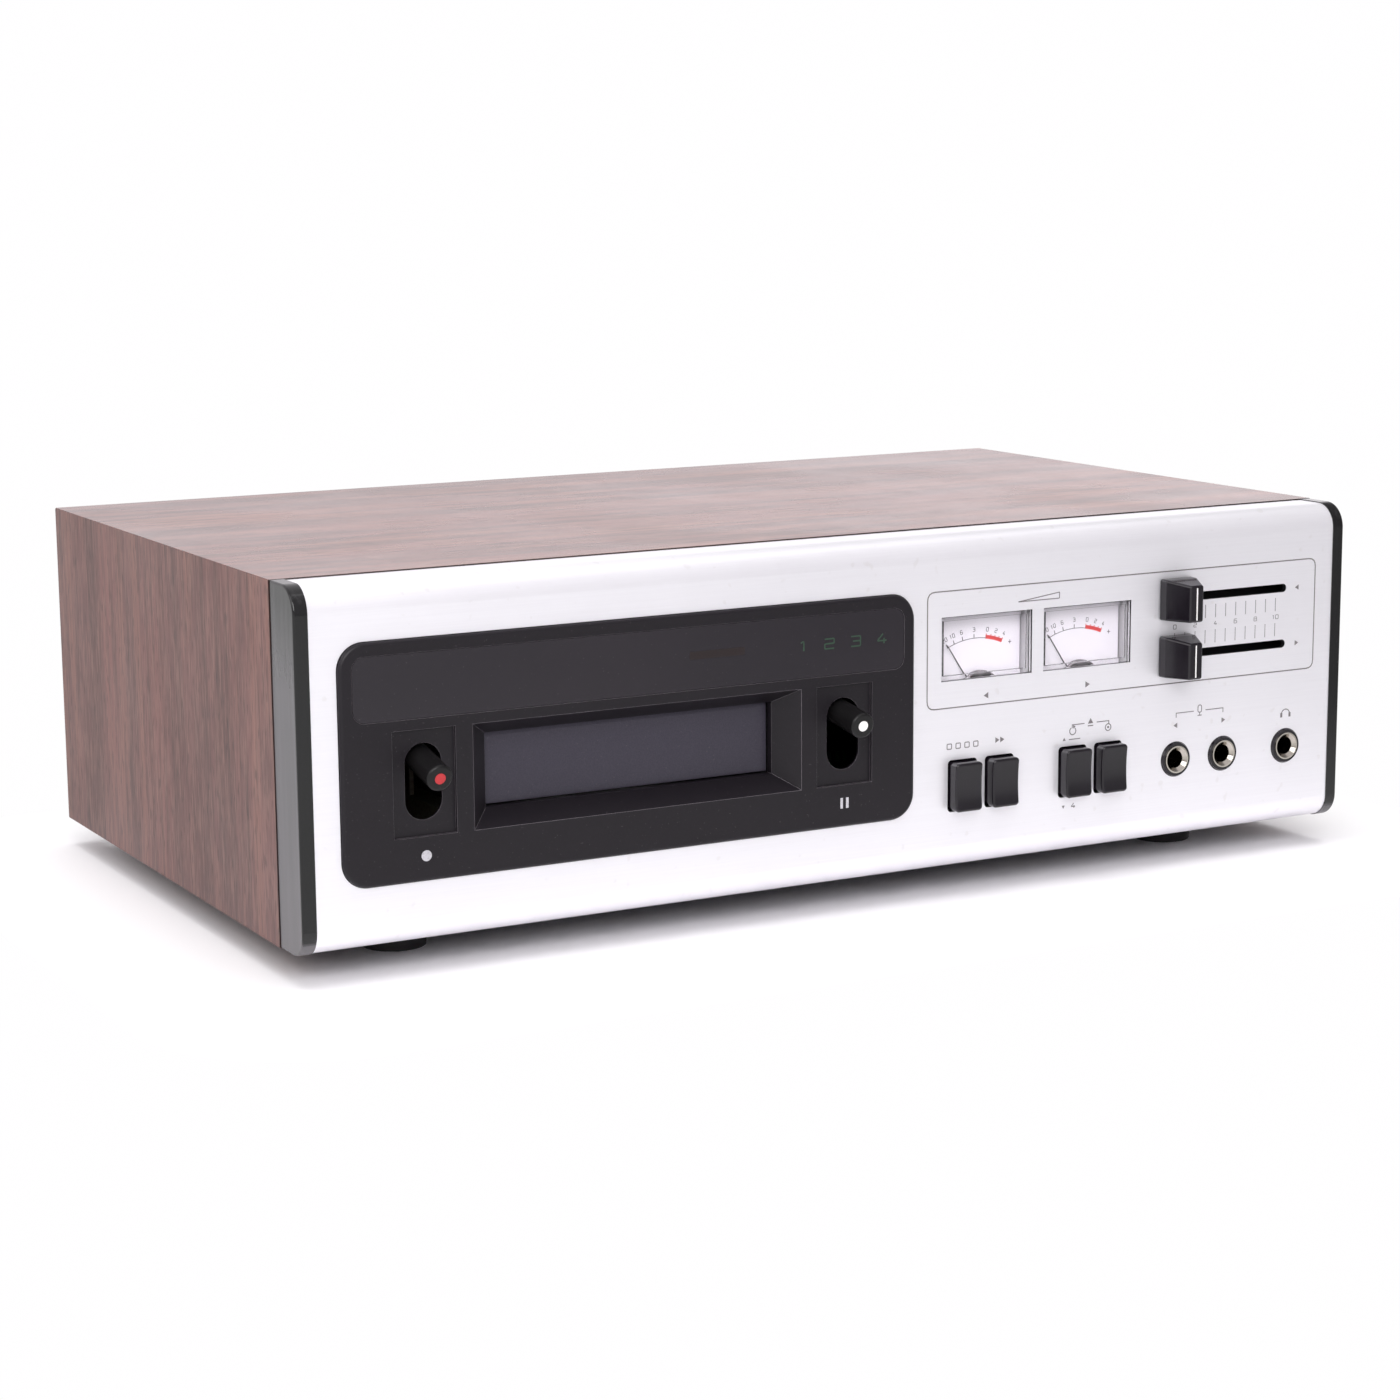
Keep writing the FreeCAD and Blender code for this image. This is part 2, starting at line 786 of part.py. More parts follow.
def battens():
    """Pine strips glued inside the side boards; the bottom plate is screwed to them."""
    strips = []
    for name, side in (("left", -1), ("right", 1)):
        edges = sorted((side * inner_half, side * (inner_half - dim.batten_side)),
                       key=lambda size: size.value)
        depths = (seam + dim.batten_side, rear_face - dim.rear_flange - dim.sheet_gap)
        strips.append(block(f"{name}_batten", edges, depths,
                            (plate_top, plate_top + dim.batten_side)))
    holes = [
        upright(f"pilot_{number}", dim.screw_radius, x, depth,
                (plate_top, plate_low + dim.screw_length))
        for number, (x, depth) in enumerate(screw_places())
    ]
    keep(cut("battens_bored", fuse("battens", *strips), *holes), "sleeve_battens")


def foot_places():
    side = cabinet_half - dim.foot_from_side
    depths = (seam + dim.foot_from_end, rear_end - dim.foot_from_end)
    return [(x, depth) for depth in depths for x in (-side, side)]


def feet():
    """Tapered rubber feet under the bottom plate."""
    cones = []
    for number, (x, depth) in enumerate(foot_places()):
        cone = doc.addObject("Part::Cone", f"foot_{number}")
        bind(cone, Radius1=dim.foot_radius - dim.foot_taper, Radius2=dim.foot_radius,
             Height=dim.foot_height + plate_low)
        place(cone, x, depth, -dim.foot_height)
        cones.append(cone)
    keep(fuse("feet", *cones), "rubber_feet")


# ---------------------------------------------------------------- sheet metal


def vent_row(body, name, front, rear, x, low, high):
    """Row of upright vent slots cut through a sheet."""
    radius = dim.vent_width / 2
    first = x - dim.vent_pitch * (dim.vent_count - 1) / 2
    slot = front_pocket(body, name, front, rear,
                        round_slot((first, low + radius), (first, high - radius), radius))
    doc.recompute()
    repeat(body, slot, "X_Axis", dim.vent_pitch * (dim.vent_count - 1), dim.vent_count,
           name + "s")


def bottom_plate():
    """Floor of the chassis, with vents under the transformer and a thrust pad for the flywheel."""
    body = new_body("bottom")
    front = dim.panel_corner + 2 * dim.sheet_gap
    pad(body, "sheet", PLAN, plate_low, dim.sheet,
        outline(-plate_half, plate_half, front, rear_end - dim.batten_side))
    radius = dim.vent_width / 2
    first = inner_half - dim.floor_vent_from_side - dim.vent_pitch * (dim.vent_count - 1) / 2
    low = transformer_depth - dim.vent_height - dim.transformer_length
    high = low + dim.vent_height
    slot = pocket(body, "vent", PLAN, plate_top, dim.sheet,
                  round_slot((first, low + radius), (first, high - radius), radius))
    doc.recompute()
    row_length = dim.vent_pitch * (dim.vent_count - 1)
    repeat(body, slot, "X_Axis", row_length, dim.vent_count, "vents")
    thrust_top = dim.flywheel_height_at - dim.capstan_foot - 2 * dim.running_gap
    pad(body, "thrust", PLAN, plate_low, thrust_top - plate_low,
        ring(capstan_x, dim.capstan_depth_at, dim.flywheel_hub_radius))
    holes = [ring(x, depth, dim.screw_radius) for x, depth in screw_places()]
    pocket(body, "screw_holes", PLAN, plate_top, dim.sheet, *holes)
    keep(body, "bottom_plate")


def screw_places():
    x = inner_half - dim.batten_side / 2
    depths = (seam + 2 * dim.batten_side, (seam + rear_face) / 2, rear_face - 3 * dim.batten_side)
    return [(side * x, depth) for side in (-1, 1) for depth in depths]


def screws():
    """Pan-head screws that hold the bottom plate to the battens."""
    made = []
    for number, (x, depth) in enumerate(screw_places()):
        head = upright(f"screw_head_{number}", dim.screw_head_radius, x, depth,
                       (plate_low - dim.screw_head_height, plate_low))
        shank = upright(f"screw_shank_{number}", dim.screw_radius, x, depth,
                        (plate_low, plate_low + dim.screw_length))
        made.append(fuse(f"screw_{number}", head, shank))
    keep(fuse("screws", *made), "case_screws")


def rear_panel():
    """Rear sheet with a foot flange, vents, a socket opening and the cord gland's hole."""
    body = new_body("rear")
    top = dim.cabinet_height - dim.board_thickness - dim.sheet_gap
    front = rear_face - dim.sheet
    front_pad(body, "sheet", front, rear_face, outline(-plate_half, plate_half, plate_top, top))
    front_pad(body, "flange", rear_face - dim.rear_flange, front,
              outline(-plate_half, plate_half, plate_top, plate_top + dim.sheet))
    reach = (dim.socket_pitch + dim.socket_plate_margin) / 2
    front_pocket(body, "openings", front, rear_face,
                 outline(socket_x - reach, socket_x + reach,
                         dim.socket_height_at - reach, dim.socket_height_at + reach),
                 ring(gland_x, dim.gland_height_at, dim.gland_radius))
    middle = (plate_top + top) / 2
    vent_row(body, "vent", front, rear_face, 0, middle - dim.vent_height / 2,
             middle + dim.vent_height / 2)
    keep(body, "rear_panel")


def sub_panel():
    """Steel sheet right of the deck that carries the meters, sliders, switches and jacks."""
    body = new_body("sub")
    left = bezel_right + dim.bezel_flange + dim.sheet_gap
    top = panel_high - dim.panel_wall - dim.sheet_gap
    gap = dim.cut_out_gap
    front, rear = dim.sub_panel_depth_at, sub_panel_rear
    front_pad(body, "sheet", front, rear,
              outline(left, panel_half - dim.sheet_gap, plate_top, top))
    meters = [
        outline(x - lens_half - gap, x + lens_half + gap, lens_low - gap, lens_high + gap)
        for x in meter_places()
    ]
    front_pocket(body, "meter_openings", front, rear, *meters)
    slots = [
        outline(slider_left, slider_right, height - dim.pot_slot_height / 2,
                height + dim.pot_slot_height / 2)
        for height in slider_heights()
    ]
    front_pocket(body, "slider_slots", front, rear, *slots)
    reach = dim.stem_side / 2 + gap
    stems = [
        outline(x - reach, x + reach, dim.button_height_at - reach, dim.button_height_at + reach)
        for x in button_places()
    ]
    front_pocket(body, "stem_holes", front, rear, *stems)
    jacks = [ring(x, dim.jack_height_at, dim.ferrule_radius + dim.jack_hole_gap)
             for x in jack_places()]
    front_pocket(body, "jack_holes", front, rear, *jacks)
    keep(body, "sub_panel")


# ---------------------------------------------------------------- front panel


def meter_places():
    return [meter_first, meter_first + meter_pitch]


def slider_heights():
    return [dim.slider_upper_height_at, dim.slider_lower_height_at]


def button_places():
    firsts = (button_first, button_first + dim.button_group_pitch)
    return [first + step * dim.button_pitch for first in firsts for step in (0, 1)]


def jack_places():
    return [mic_first, mic_first + dim.mic_jack_pitch, phones_x]


def front_panel():
    """Aluminium extrusion: a channel with rounded front corners, open to the rear."""
    body = new_body("front")
    rear = seam - dim.panel_reveal
    wall = dim.panel_wall
    pad(body, "channel", SIDE, -panel_half, panel_length,
        outline(0, rear, panel_low, panel_high))
    pocket(body, "hollow", SIDE, panel_half, panel_length,
           outline(wall, rear + wall, panel_low + wall, panel_high - wall))
    soften(body, "outer_corners", dim.panel_corner,
           lambda e: lies(e, Y=0, Z=panel_low) or lies(e, Y=0, Z=panel_high))
    soften(body, "inner_corners", dim.panel_corner - wall,
           lambda e: lies(e, Y=wall, Z=panel_low + wall) or lies(e, Y=wall, Z=panel_high - wall))
    gap = dim.bezel_gap
    front_pocket(body, "deck_opening", 0, wall,
                 outline(bezel_left - gap, bezel_right + gap, bezel_low - gap, bezel_high + gap,
                         dim.bezel_corner))
    reach = dim.meter_window_width / 2
    low = dim.meter_window_height_at
    windows = [
        outline(x - reach, x + reach, low, low + dim.meter_window_height)
        for x in meter_places()
    ]
    front_pocket(body, "meter_windows", 0, wall, *windows)
    end = dim.slider_slot_height / 2
    slots = [
        round_slot((slider_left + end, height), (slider_right - end, height), end)
        for height in slider_heights()
    ]
    front_pocket(body, "slider_slots", 0, wall, *slots)
    width = dim.button_width / 2 + dim.button_gap
    height = dim.button_height / 2 + dim.button_gap
    holes = [
        outline(x - width, x + width, dim.button_height_at - height,
                dim.button_height_at + height, dim.button_corner)
        for x in button_places()
    ]
    front_pocket(body, "button_holes", 0, wall, *holes)
    holes = [
        ring(x, dim.jack_height_at, dim.ferrule_radius + dim.jack_hole_gap)
        for x in jack_places()
    ]
    front_pocket(body, "jack_holes", 0, wall, *holes)
    keep(body, "front_panel")


def end_cap(name, side):
    """Glossy moulding over the extrusion's end, with a plug that seats inside the channel."""
    body = new_body(name)
    proud = dim.cap_proud
    low, high = panel_low - proud, panel_high + proud
    rear = seam - dim.panel_reveal / 2
    plane_x = panel_half if side > 0 else -panel_half - dim.cap_thickness
    pad(body, "cheek", SIDE, plane_x, dim.cap_thickness, outline(-proud, rear, low, high))
    inset = dim.panel_wall + dim.cap_plug_gap
    plug_x = panel_half - dim.cap_plug_length if side > 0 else -panel_half
    corner = dim.panel_corner
    pad(body, "plug", SIDE, plug_x, dim.cap_plug_length,
        outline(inset, dim.sub_panel_depth_at, panel_low + corner, panel_high - corner))
    soften(body, "corners", corner + proud,
           lambda e: lies(e, Y=-proud, Z=low) or lies(e, Y=-proud, Z=high))
    outside = side * (panel_half + dim.cap_thickness)
    soften(body, "rim", dim.cap_edge,
           lambda e: lies(e, X=outside) and not lies(e, Y=rear))
    keep(body, name)


# ---------------------------------------------------------------- deck bezel


def lever_places():
    return [deck_x - lever_half_spacing, deck_x + lever_half_spacing]


def lamp_places():
    numbers = [lamp_first + step * dim.lamp_pitch for step in range(4)]
    return [lamp_first - dim.record_lamp_from_lamps, *numbers]


def deck_bezel():
    """Moulded bezel: cartridge funnel, lever wells with slots, header ledge, rear flange."""
    body = new_body("bezel")
    face, inside, rear = bezel_face, bezel_inside, bezel_rear
    front_pad(body, "plate", face, rear,
              outline(bezel_left, bezel_right, bezel_low, bezel_high, dim.bezel_corner))
    lip = dim.bezel_flange
    front_pad(body, "flange", dim.panel_wall, rear,
              outline(bezel_left - lip, bezel_right + lip, bezel_low - lip, bezel_high + lip,
                      dim.bezel_corner + lip))
    wall = dim.bezel_wall
    pocket(body, "hollow", FRONT, -rear, rear - inside,
           outline(bezel_left + wall, bezel_right - wall, bezel_low + wall, bezel_high - wall,
                   dim.bezel_corner - wall),
           reverse=True)
    x = deck_x
    margin = mouth_half + dim.throat_wall
    front_pad(body, "throat", inside, dim.throat_depth_at,
              outline(x - margin, x + margin, dim.mouth_height_at - dim.throat_wall,
                      mouth_high + dim.throat_wall))
    half, low, high = funnel_half, funnel_low, funnel_high
    front_pad(body, "funnel_wall", inside, dim.mouth_depth_at, outline(x - half, x + half, low, high))
    rib = dim.bezel_rib
    for number, rib_x in enumerate((x - margin - 2 * rib, x + margin + rib)):
        front_pad(body, f"rib_{number}", inside, rear,
                  outline(rib_x, rib_x + rib, bezel_low + wall, header_low))
    loft(body, "PartDesign::SubtractiveLoft", "funnel", (
        (face, outline(x - half, x + half, low, high)),
        (dim.mouth_depth_at, outline(x - mouth_half, x + mouth_half, dim.mouth_height_at,
                                     mouth_high)),
    ))
    front_pocket(body, "mouth", dim.mouth_depth_at, dim.throat_depth_at,
                 outline(x - mouth_half, x + mouth_half, dim.mouth_height_at, mouth_high))
    reach = dim.lever_well_width / 2
    wells = [
        outline(middle - reach, middle + reach, low, high)
        for middle in lever_places()
    ]
    front_pocket(body, "lever_wells", face, face + dim.lever_well_sink, *wells)
    end = dim.lever_slot_height / 2 - slot_radius
    slots = [
        round_slot((middle, slot_middle - end), (middle, slot_middle + end), slot_radius)
        for middle in lever_places()
    ]
    front_pocket(body, "lever_slots", face, rear, *slots)
    half = header_half
    low = header_low
    ledge = face + dim.header_sink + dim.header_thickness
    front_pocket(body, "header_ledge", face, ledge,
                 outline(x - half, x + half, low, low + dim.header_height, dim.header_corner))
    holes = [
        ring(lamp_x, dim.lamp_height_at, dim.lamp_radius + dim.lamp_gap)
        for lamp_x in lamp_places()
    ]
    front_pocket(body, "lamp_holes", face, inside, *holes)
    soften(body, "edge", dim.bezel_edge,
           lambda e: lies(e, Y=face) and on_outline(e, bezel_left, bezel_right, bezel_low,
                                                    bezel_high, dim.bezel_corner))
    keep(body, "deck_bezel")


def on_outline(edge, left, right, low, high, corner):
    """True for an edge on the rim of a rounded rectangle seen from the front."""
    bounds = edge.BoundBox
    reach = corner.value + 1e-3
    beside = bounds.XMax < left.value + reach or bounds.XMin > right.value - reach
    above = bounds.ZMax < low.value + reach or bounds.ZMin > high.value - reach
    touches = (
        abs(bounds.XMin - left.value) < 1e-3
        or abs(bounds.XMax - right.value) < 1e-3
        or abs(bounds.ZMin - low.value) < 1e-3
        or abs(bounds.ZMax - high.value) < 1e-3
    )
    return touches and (beside or above)


def header_window():
    """Smoked acrylic strip that lies on the bezel's ledge."""
    body = new_body("header")
    gap = dim.header_gap
    half = header_half - gap
    low = header_low + gap
    front = bezel_face + dim.header_sink
    front_pad(body, "pane", front, front + dim.header_thickness,
              outline(deck_x - half, deck_x + half, low,
                      low + dim.header_height - 2 * gap, dim.header_corner - gap))
    keep(body, "header_window")


def lamp_strip():
    """Lamp holder behind the header: one lamp for recording and one for each programme."""
    places = lamp_places()
    front, rear = bezel_inside, bezel_inside + dim.lamp_strip_thickness
    low = dim.lamp_height_at - dim.lamp_strip_height / 2
    left = places[0] - dim.lamp_strip_margin
    right = places[-1] + dim.lamp_strip_margin
    ends = (low, low + dim.lamp_strip_height)
    bar = block("lamp_bar", (left, right), (front, rear), ends)
    ledge = bezel_face + dim.header_sink + dim.header_thickness
    lamps = [
        rod(f"lamp_{number}", dim.lamp_radius, x, (ledge + dim.lamp_gap, rear),
            dim.lamp_height_at)
        for number, x in enumerate(places)
    ]
    keep(fuse("lamp_bar_and_lamps", bar, *lamps), "indicator_lamps")


# ---------------------------------------------------------------- cartridge door and guide


def cartridge_guide():
    """Tunnel that the cartridge slides into, open at both ends, with holes for the door's pin."""
    body = new_body("guide")
    x, wall = deck_x, dim.guide_wall
    front, rear = dim.throat_depth_at, guide_end
    front_pad(body, "tunnel", front, rear,
              outline(x - guide_half - wall, x + guide_half + wall, guide_low, guide_roof + wall))
    front_pocket(body, "bay", front, rear,
                 outline(x - guide_half, x + guide_half, guide_floor, guide_roof))
    across = 2 * (guide_half + wall)
    pocket(body, "pin_holes", SIDE, x + guide_half + wall, across,
           ring(door_pin_depth, door_pin_height, dim.door_pin_radius))
    keep(body, "cartridge_guide")


def cartridge_door():
    """Spring flap: a leaf that leans back at its top into a barrel, which turns on the pin."""
    body = new_body("door", deck_x, door_pin_depth, door_pin_height)
    half = mouth_half - dim.door_side_gap
    barrel = dim.door_barrel_radius
    foot = dim.mouth_height_at + dim.door_foot_gap - door_pin_height
    bend = mouth_high - dim.door_bend - door_pin_height
    face = -dim.door_pin_set_back
    back = face + dim.door_thickness
    pad(body, "leaf", SIDE, -half, 2 * half,
        polygon((face, foot), (back, foot), (back, 0), (-barrel, 0), (face, bend)))
    pad(body, "barrel", SIDE, -half, 2 * half, ring(0, 0, barrel))
    pocket(body, "bore", SIDE, half, 2 * half,
           ring(0, 0, dim.door_pin_radius + dim.running_gap))
    keep(body, "cartridge_door")
    reach = guide_half + dim.guide_wall
    pin = crosswise("pin", dim.door_pin_radius, (deck_x - reach, deck_x + reach),
                    door_pin_depth, door_pin_height)
    keep(pin, "door_pin")


# ---------------------------------------------------------------- levers


def lever_pivot(tip_height, angle):
    """Depth and height of a lever's pivot, up its own axis from the tip."""
    depth = dim.lever_length * cosine(angle) - dim.lever_reach
    height = tip_height + dim.lever_length * sine(angle)
    return depth, height


def lever(name, x, tip_height, angle):
    """Round peg on a flat arm that swings about a pin beside the cartridge guide."""
    depth, height = lever_pivot(tip_height, angle)
    body = new_body(name, x, depth, height)
    tilt(body, angle)
    place(body, x, depth, height)
    root = dim.lever_length - dim.lever_peg_length
    half = dim.lever_arm_height / 2
    thick = dim.lever_arm_thickness
    width = dim.lever_hub_width
    pad(body, "peg", FRONT, root, dim.lever_peg_length, ring(0, 0, dim.lever_radius))
    soften(body, "tip", dim.lever_edge, lambda e: lies(e, Y=-dim.lever_length))
    pad(body, "arm", SIDE, -thick / 2, thick,
        outline(-root - dim.lever_edge, 0, -half, half))
    pad(body, "hub", SIDE, -width / 2, width, ring(0, 0, dim.lever_hub_radius))
    pocket(body, "bore", SIDE, width / 2, width,
           ring(0, 0, dim.pivot_radius + dim.running_gap))
    pocket(body, "dot_seat", FRONT, dim.lever_length, dim.dot_sink, ring(0, 0, dim.dot_radius))
    keep(body, f"{name}_lever")
    dot = new_body(f"{name}_dot", x, depth, height)
    tilt(dot, angle)
    place(dot, x, depth, height)
    pad(dot, "inlay", FRONT, dim.lever_length - dim.dot_sink, dim.dot_sink + dim.dot_proud,
        ring(0, 0, dim.dot_radius))
    keep(dot, f"{name}_lever_dot")


def pivot_pin(name, x, side, tip_height, angle):
    """Shouldered stud from the frame's ear, out through the lever's hub, with a head."""
    depth, height = lever_pivot(tip_height, angle)
    ear = deck_x + side * (frame_half - dim.frame_wall)
    outer = deck_x + side * frame_half
    hub_near = x - side * (dim.lever_hub_width / 2 + dim.pivot_end_gap)
    hub_far = x + side * (dim.lever_hub_width / 2 + dim.pivot_end_gap)
    pieces = []
    for label, radius, start, end in (
        ("stud", dim.pivot_radius, ear, hub_far),
        ("shoulder", dim.pivot_shoulder, outer, hub_near),
        ("head", dim.pivot_shoulder, hub_far, hub_far + side * dim.frame_wall),
    ):
        limits = (start, end) if side > 0 else (end, start)
        pieces.append(crosswise(f"{name}_{label}", radius, limits, depth, height))
    keep(fuse(f"{name}_pin", *pieces), f"{name}_pivot")


def levers():
    left, right = lever_places()
    lever("record", left, dim.record_tip_height_at, dim.record_tilt)
    pivot_pin("record", left, -1, dim.record_tip_height_at, dim.record_tilt)
    lever("pause", right, dim.pause_tip_height_at, dim.pause_tilt)
    pivot_pin("pause", right, 1, dim.pause_tip_height_at, dim.pause_tilt)


# ---------------------------------------------------------------- level meters


def meter(name, x):
    """Moving-coil meter: clear cover, dial, needle, and a case with the pivot post and its cap."""
    gap = dim.meter_gap
    lens = new_body(f"{name}_lens_body")
    reach = dim.meter_window_width / 2 - gap
    low = dim.meter_window_height_at + gap
    high = low + dim.meter_window_height - 2 * gap
    wall = dim.lens_wall
    front_pad(lens, "cover", dim.panel_wall, lens_rear,
              outline(x - lens_half, x + lens_half, lens_low, lens_high))
    front_pad(lens, "window", dim.meter_set_back, dim.panel_wall,
              outline(x - reach, x + reach, low, high))
    hollow = dim.panel_wall + wall
    front_pocket(lens, "inside", hollow, lens_rear,
                 outline(x - lens_half + wall, x + lens_half - wall, lens_low + wall,
                         lens_high - wall))
    front_pocket(lens, "window_inside", dim.meter_set_back + wall, hollow,
                 outline(x - reach + wall, x + reach - wall, low + wall, high - wall))
    keep(lens, f"{name}_meter_lens")

    pivot = dim.needle_pivot_height_at
    dial_front = lens_rear - dim.dial_thickness
    hub_rear = dial_front - dim.needle_stand_off
    hub_front = hub_rear - dim.needle_hub_length
    cap_rear = hub_front - dim.needle_thickness
    cap_front = cap_rear - dim.needle_cover_thickness
    case = new_body(f"{name}_case_body")
    front_pad(case, "can", lens_rear, lens_rear + dim.meter_case_length,
              outline(x - lens_half, x + lens_half, lens_low, lens_high, wall))
    front_pad(case, "flange", sub_panel_rear, sub_panel_rear + dim.sheet,
              outline(x - lens_half, x + lens_half, lens_low - dim.meter_flange,
                      lens_high + dim.meter_flange))
    front_pad(case, "post", cap_rear, lens_rear, ring(x, pivot, dim.needle_post_radius))
    front_pad(case, "cap", cap_front, cap_rear, ring(x, pivot, dim.needle_cover_radius))
    soften(case, "cap_edge", dim.needle_cover_thickness / 2, lambda e: lies(e, Y=cap_front))
    bottom = lens_low + wall + gap
    pocket(case, "cap_flat", PLAN, bottom, dim.needle_cover_radius,
           outline(x - lens_half, x + lens_half, cap_front - gap, cap_rear))
    keep(case, f"{name}_meter_case")

    dial = new_body(f"{name}_dial_body")
    front_pad(dial, "plate", dial_front, lens_rear,
              outline(x - lens_half + wall + gap, x + lens_half - wall - gap,
                      lens_low + wall + gap, lens_high - wall - gap))
    front_pocket(dial, "post_hole", dial_front, lens_rear,
                 ring(x, pivot, dim.needle_post_radius + dim.running_gap))
    keep(dial, f"{name}_meter_dial")

    needle = new_body(f"{name}_needle_body")
    needle.Placement = FreeCAD.Placement(
        ORIGIN, FreeCAD.Rotation(FreeCAD.Vector(0, -1, 0), dim.needle_rest.value))
    needle.setExpression("Placement.Rotation.Angle", f"{dim.needle_rest.text} * 1 deg")
    place(needle, x, hub_rear, pivot)
    half = dim.needle_width / 2
    blade = (dim.needle_hub_length + dim.needle_thickness) / 2
    pad(needle, "hub", FRONT, 0, dim.needle_hub_length, ring(0, 0, dim.needle_hub_radius))
    pad(needle, "blade", FRONT, blade - dim.needle_thickness, dim.needle_thickness,
        polygon((-half * 2, -dim.needle_tail), (half * 2, -dim.needle_tail), (half, 0),
                (half / 2, dim.needle_length), (-half / 2, dim.needle_length), (-half, 0)))
    pocket(needle, "bore", FRONT, dim.needle_hub_length, dim.needle_hub_length,
           ring(0, 0, dim.needle_post_radius + dim.running_gap))
    keep(needle, f"{name}_meter_needle")


# ---------------------------------------------------------------- sliders


def slider(name, height):
    """Tapered knob pushed on the tang of a slide potentiometer."""
    x = slider_zero
    knob = new_body(f"{name}_knob_body", x, 0, height)
    base_w, base_h = dim.knob_base_width / 2, dim.knob_base_height / 2
    front_w, front_h, drop = dim.knob_front_width / 2, dim.knob_front_height / 2, dim.knob_front_drop
    shoulder = dim.knob_gap + dim.knob_reach / 4
    loft(knob, "PartDesign::AdditiveLoft", "grip", (
        (-dim.knob_reach, outline(-front_w, front_w, -front_h - drop, front_h - drop)),
        (-shoulder, outline(-base_w * 0.96, base_w * 0.96, -base_h * 0.99, base_h * 0.99)),
    ))
    loft(knob, "PartDesign::AdditiveLoft", "foot", (
        (-shoulder, outline(-base_w * 0.96, base_w * 0.96, -base_h * 0.99, base_h * 0.99)),
        (-dim.knob_gap, outline(-base_w, base_w, -base_h, base_h)),
    ))
    soften(knob, "edges", dim.knob_edge,
           lambda e: not lies(e, Y=-dim.knob_gap) and not lies(e, Y=-shoulder))
    half_w, half_t = dim.tang_width / 2, dim.tang_thickness / 2
    pocket(knob, "socket", FRONT, dim.knob_gap, dim.tang_in_knob,
           outline(-half_w, half_w, -half_t, half_t), reverse=True)
    keep(knob, f"{name}_slider_knob")
    tang = block(f"{name}_tang", (x - half_w, x + half_w),
                 (-dim.knob_gap - dim.tang_in_knob, sub_panel_rear + dim.tang_in_pot),
                 (height - half_t, height + half_t))
    keep(tang, f"{name}_slider_tang")

    pot = new_body(f"{name}_pot_body", x + dim.slider_travel / 2, 0, height)
    half = dim.pot_length / 2
    front, rear = sub_panel_rear, sub_panel_rear + dim.pot_depth
    front_pad(pot, "can", front, rear, outline(-half, half, -dim.pot_height / 2,
                                               dim.pot_height / 2))
    run = dim.slider_travel / 2 + dim.slider_slot_margin
    slot = dim.pot_slot_height / 2
    front_pocket(pot, "track", front, front + dim.tang_in_pot + dim.sheet_gap,
                 outline(-run, run, -slot, slot))
    lug = front_pad(pot, "lug", rear, rear + 2 * dim.pot_slot_height,
                    outline(-half + slot, -half + 2 * slot, -slot, slot))
    doc.recompute()
    repeat(pot, lug, "X_Axis", dim.pot_length - 3 * slot, 3, "lugs")
    keep(pot, f"{name}_slider_pot")


# ---------------------------------------------------------------- push buttons


def push_button(name, x):
    """Dished key with a square stem that runs back into its switch."""
    body = new_body(f"{name}_body", x, 0, dim.button_height_at)
    half_w, half_h = dim.button_width / 2, dim.button_height / 2
    front_pad(body, "cap", -dim.button_reach, dim.button_skirt,
              outline(-half_w, half_w, -half_h, half_h, dim.button_corner))
    radius = dim.button_dish_radius
    centre = -(dim.button_reach + radius - dim.button_dish)
    pocket(body, "dish", SIDE, half_w, dim.button_width, ring(centre, 0, radius))
    soften(body, "edge", dim.button_edge,
           lambda e: e.BoundBox.YMax < dim.button_dish.value - dim.button_reach.value + 1e-3)
    half = dim.stem_side / 2
    front_pad(body, "stem", dim.button_skirt, stem_rear, outline(-half, half, -half, half))
    keep(body, name)


def switch_bank(name, first):
    """Switch block for two keys, with a square bore for each stem and solder lugs behind."""
    body = new_body(f"{name}_body", first, 0, dim.button_height_at)
    front, rear = sub_panel_rear, sub_panel_rear + dim.switch_depth
    half = dim.stem_side / 2
    edge = half + dim.switch_margin
    tall = dim.switch_height / 2
    front_pad(body, "block", front, rear, outline(-edge, dim.button_pitch + edge, -tall, tall))
    bore = half + dim.stem_gap
    bores = [outline(x - bore, x + bore, -bore, bore) for x in (as_size(0), dim.button_pitch)]
    front_pocket(body, "bores", front, rear - dim.switch_wall, *bores)
    lug = front_pad(body, "lug", rear, rear + 2 * dim.switch_wall,
                    outline(-half, -half + dim.switch_wall, -tall + dim.switch_wall,
                            tall - dim.switch_wall))
    doc.recompute()
    repeat(body, lug, "X_Axis", dim.button_pitch + half, 4, "lugs")
    keep(body, name)


def push_buttons():
    names = ("program_button", "fast_forward_button", "auto_eject_button", "manual_eject_button")
    places = button_places()
    for name, x in zip(names, places):
        push_button(name, x)
    switch_bank("program_switch_bank", places[0])
    switch_bank("eject_switch_bank", places[2])


# ---------------------------------------------------------------- jacks


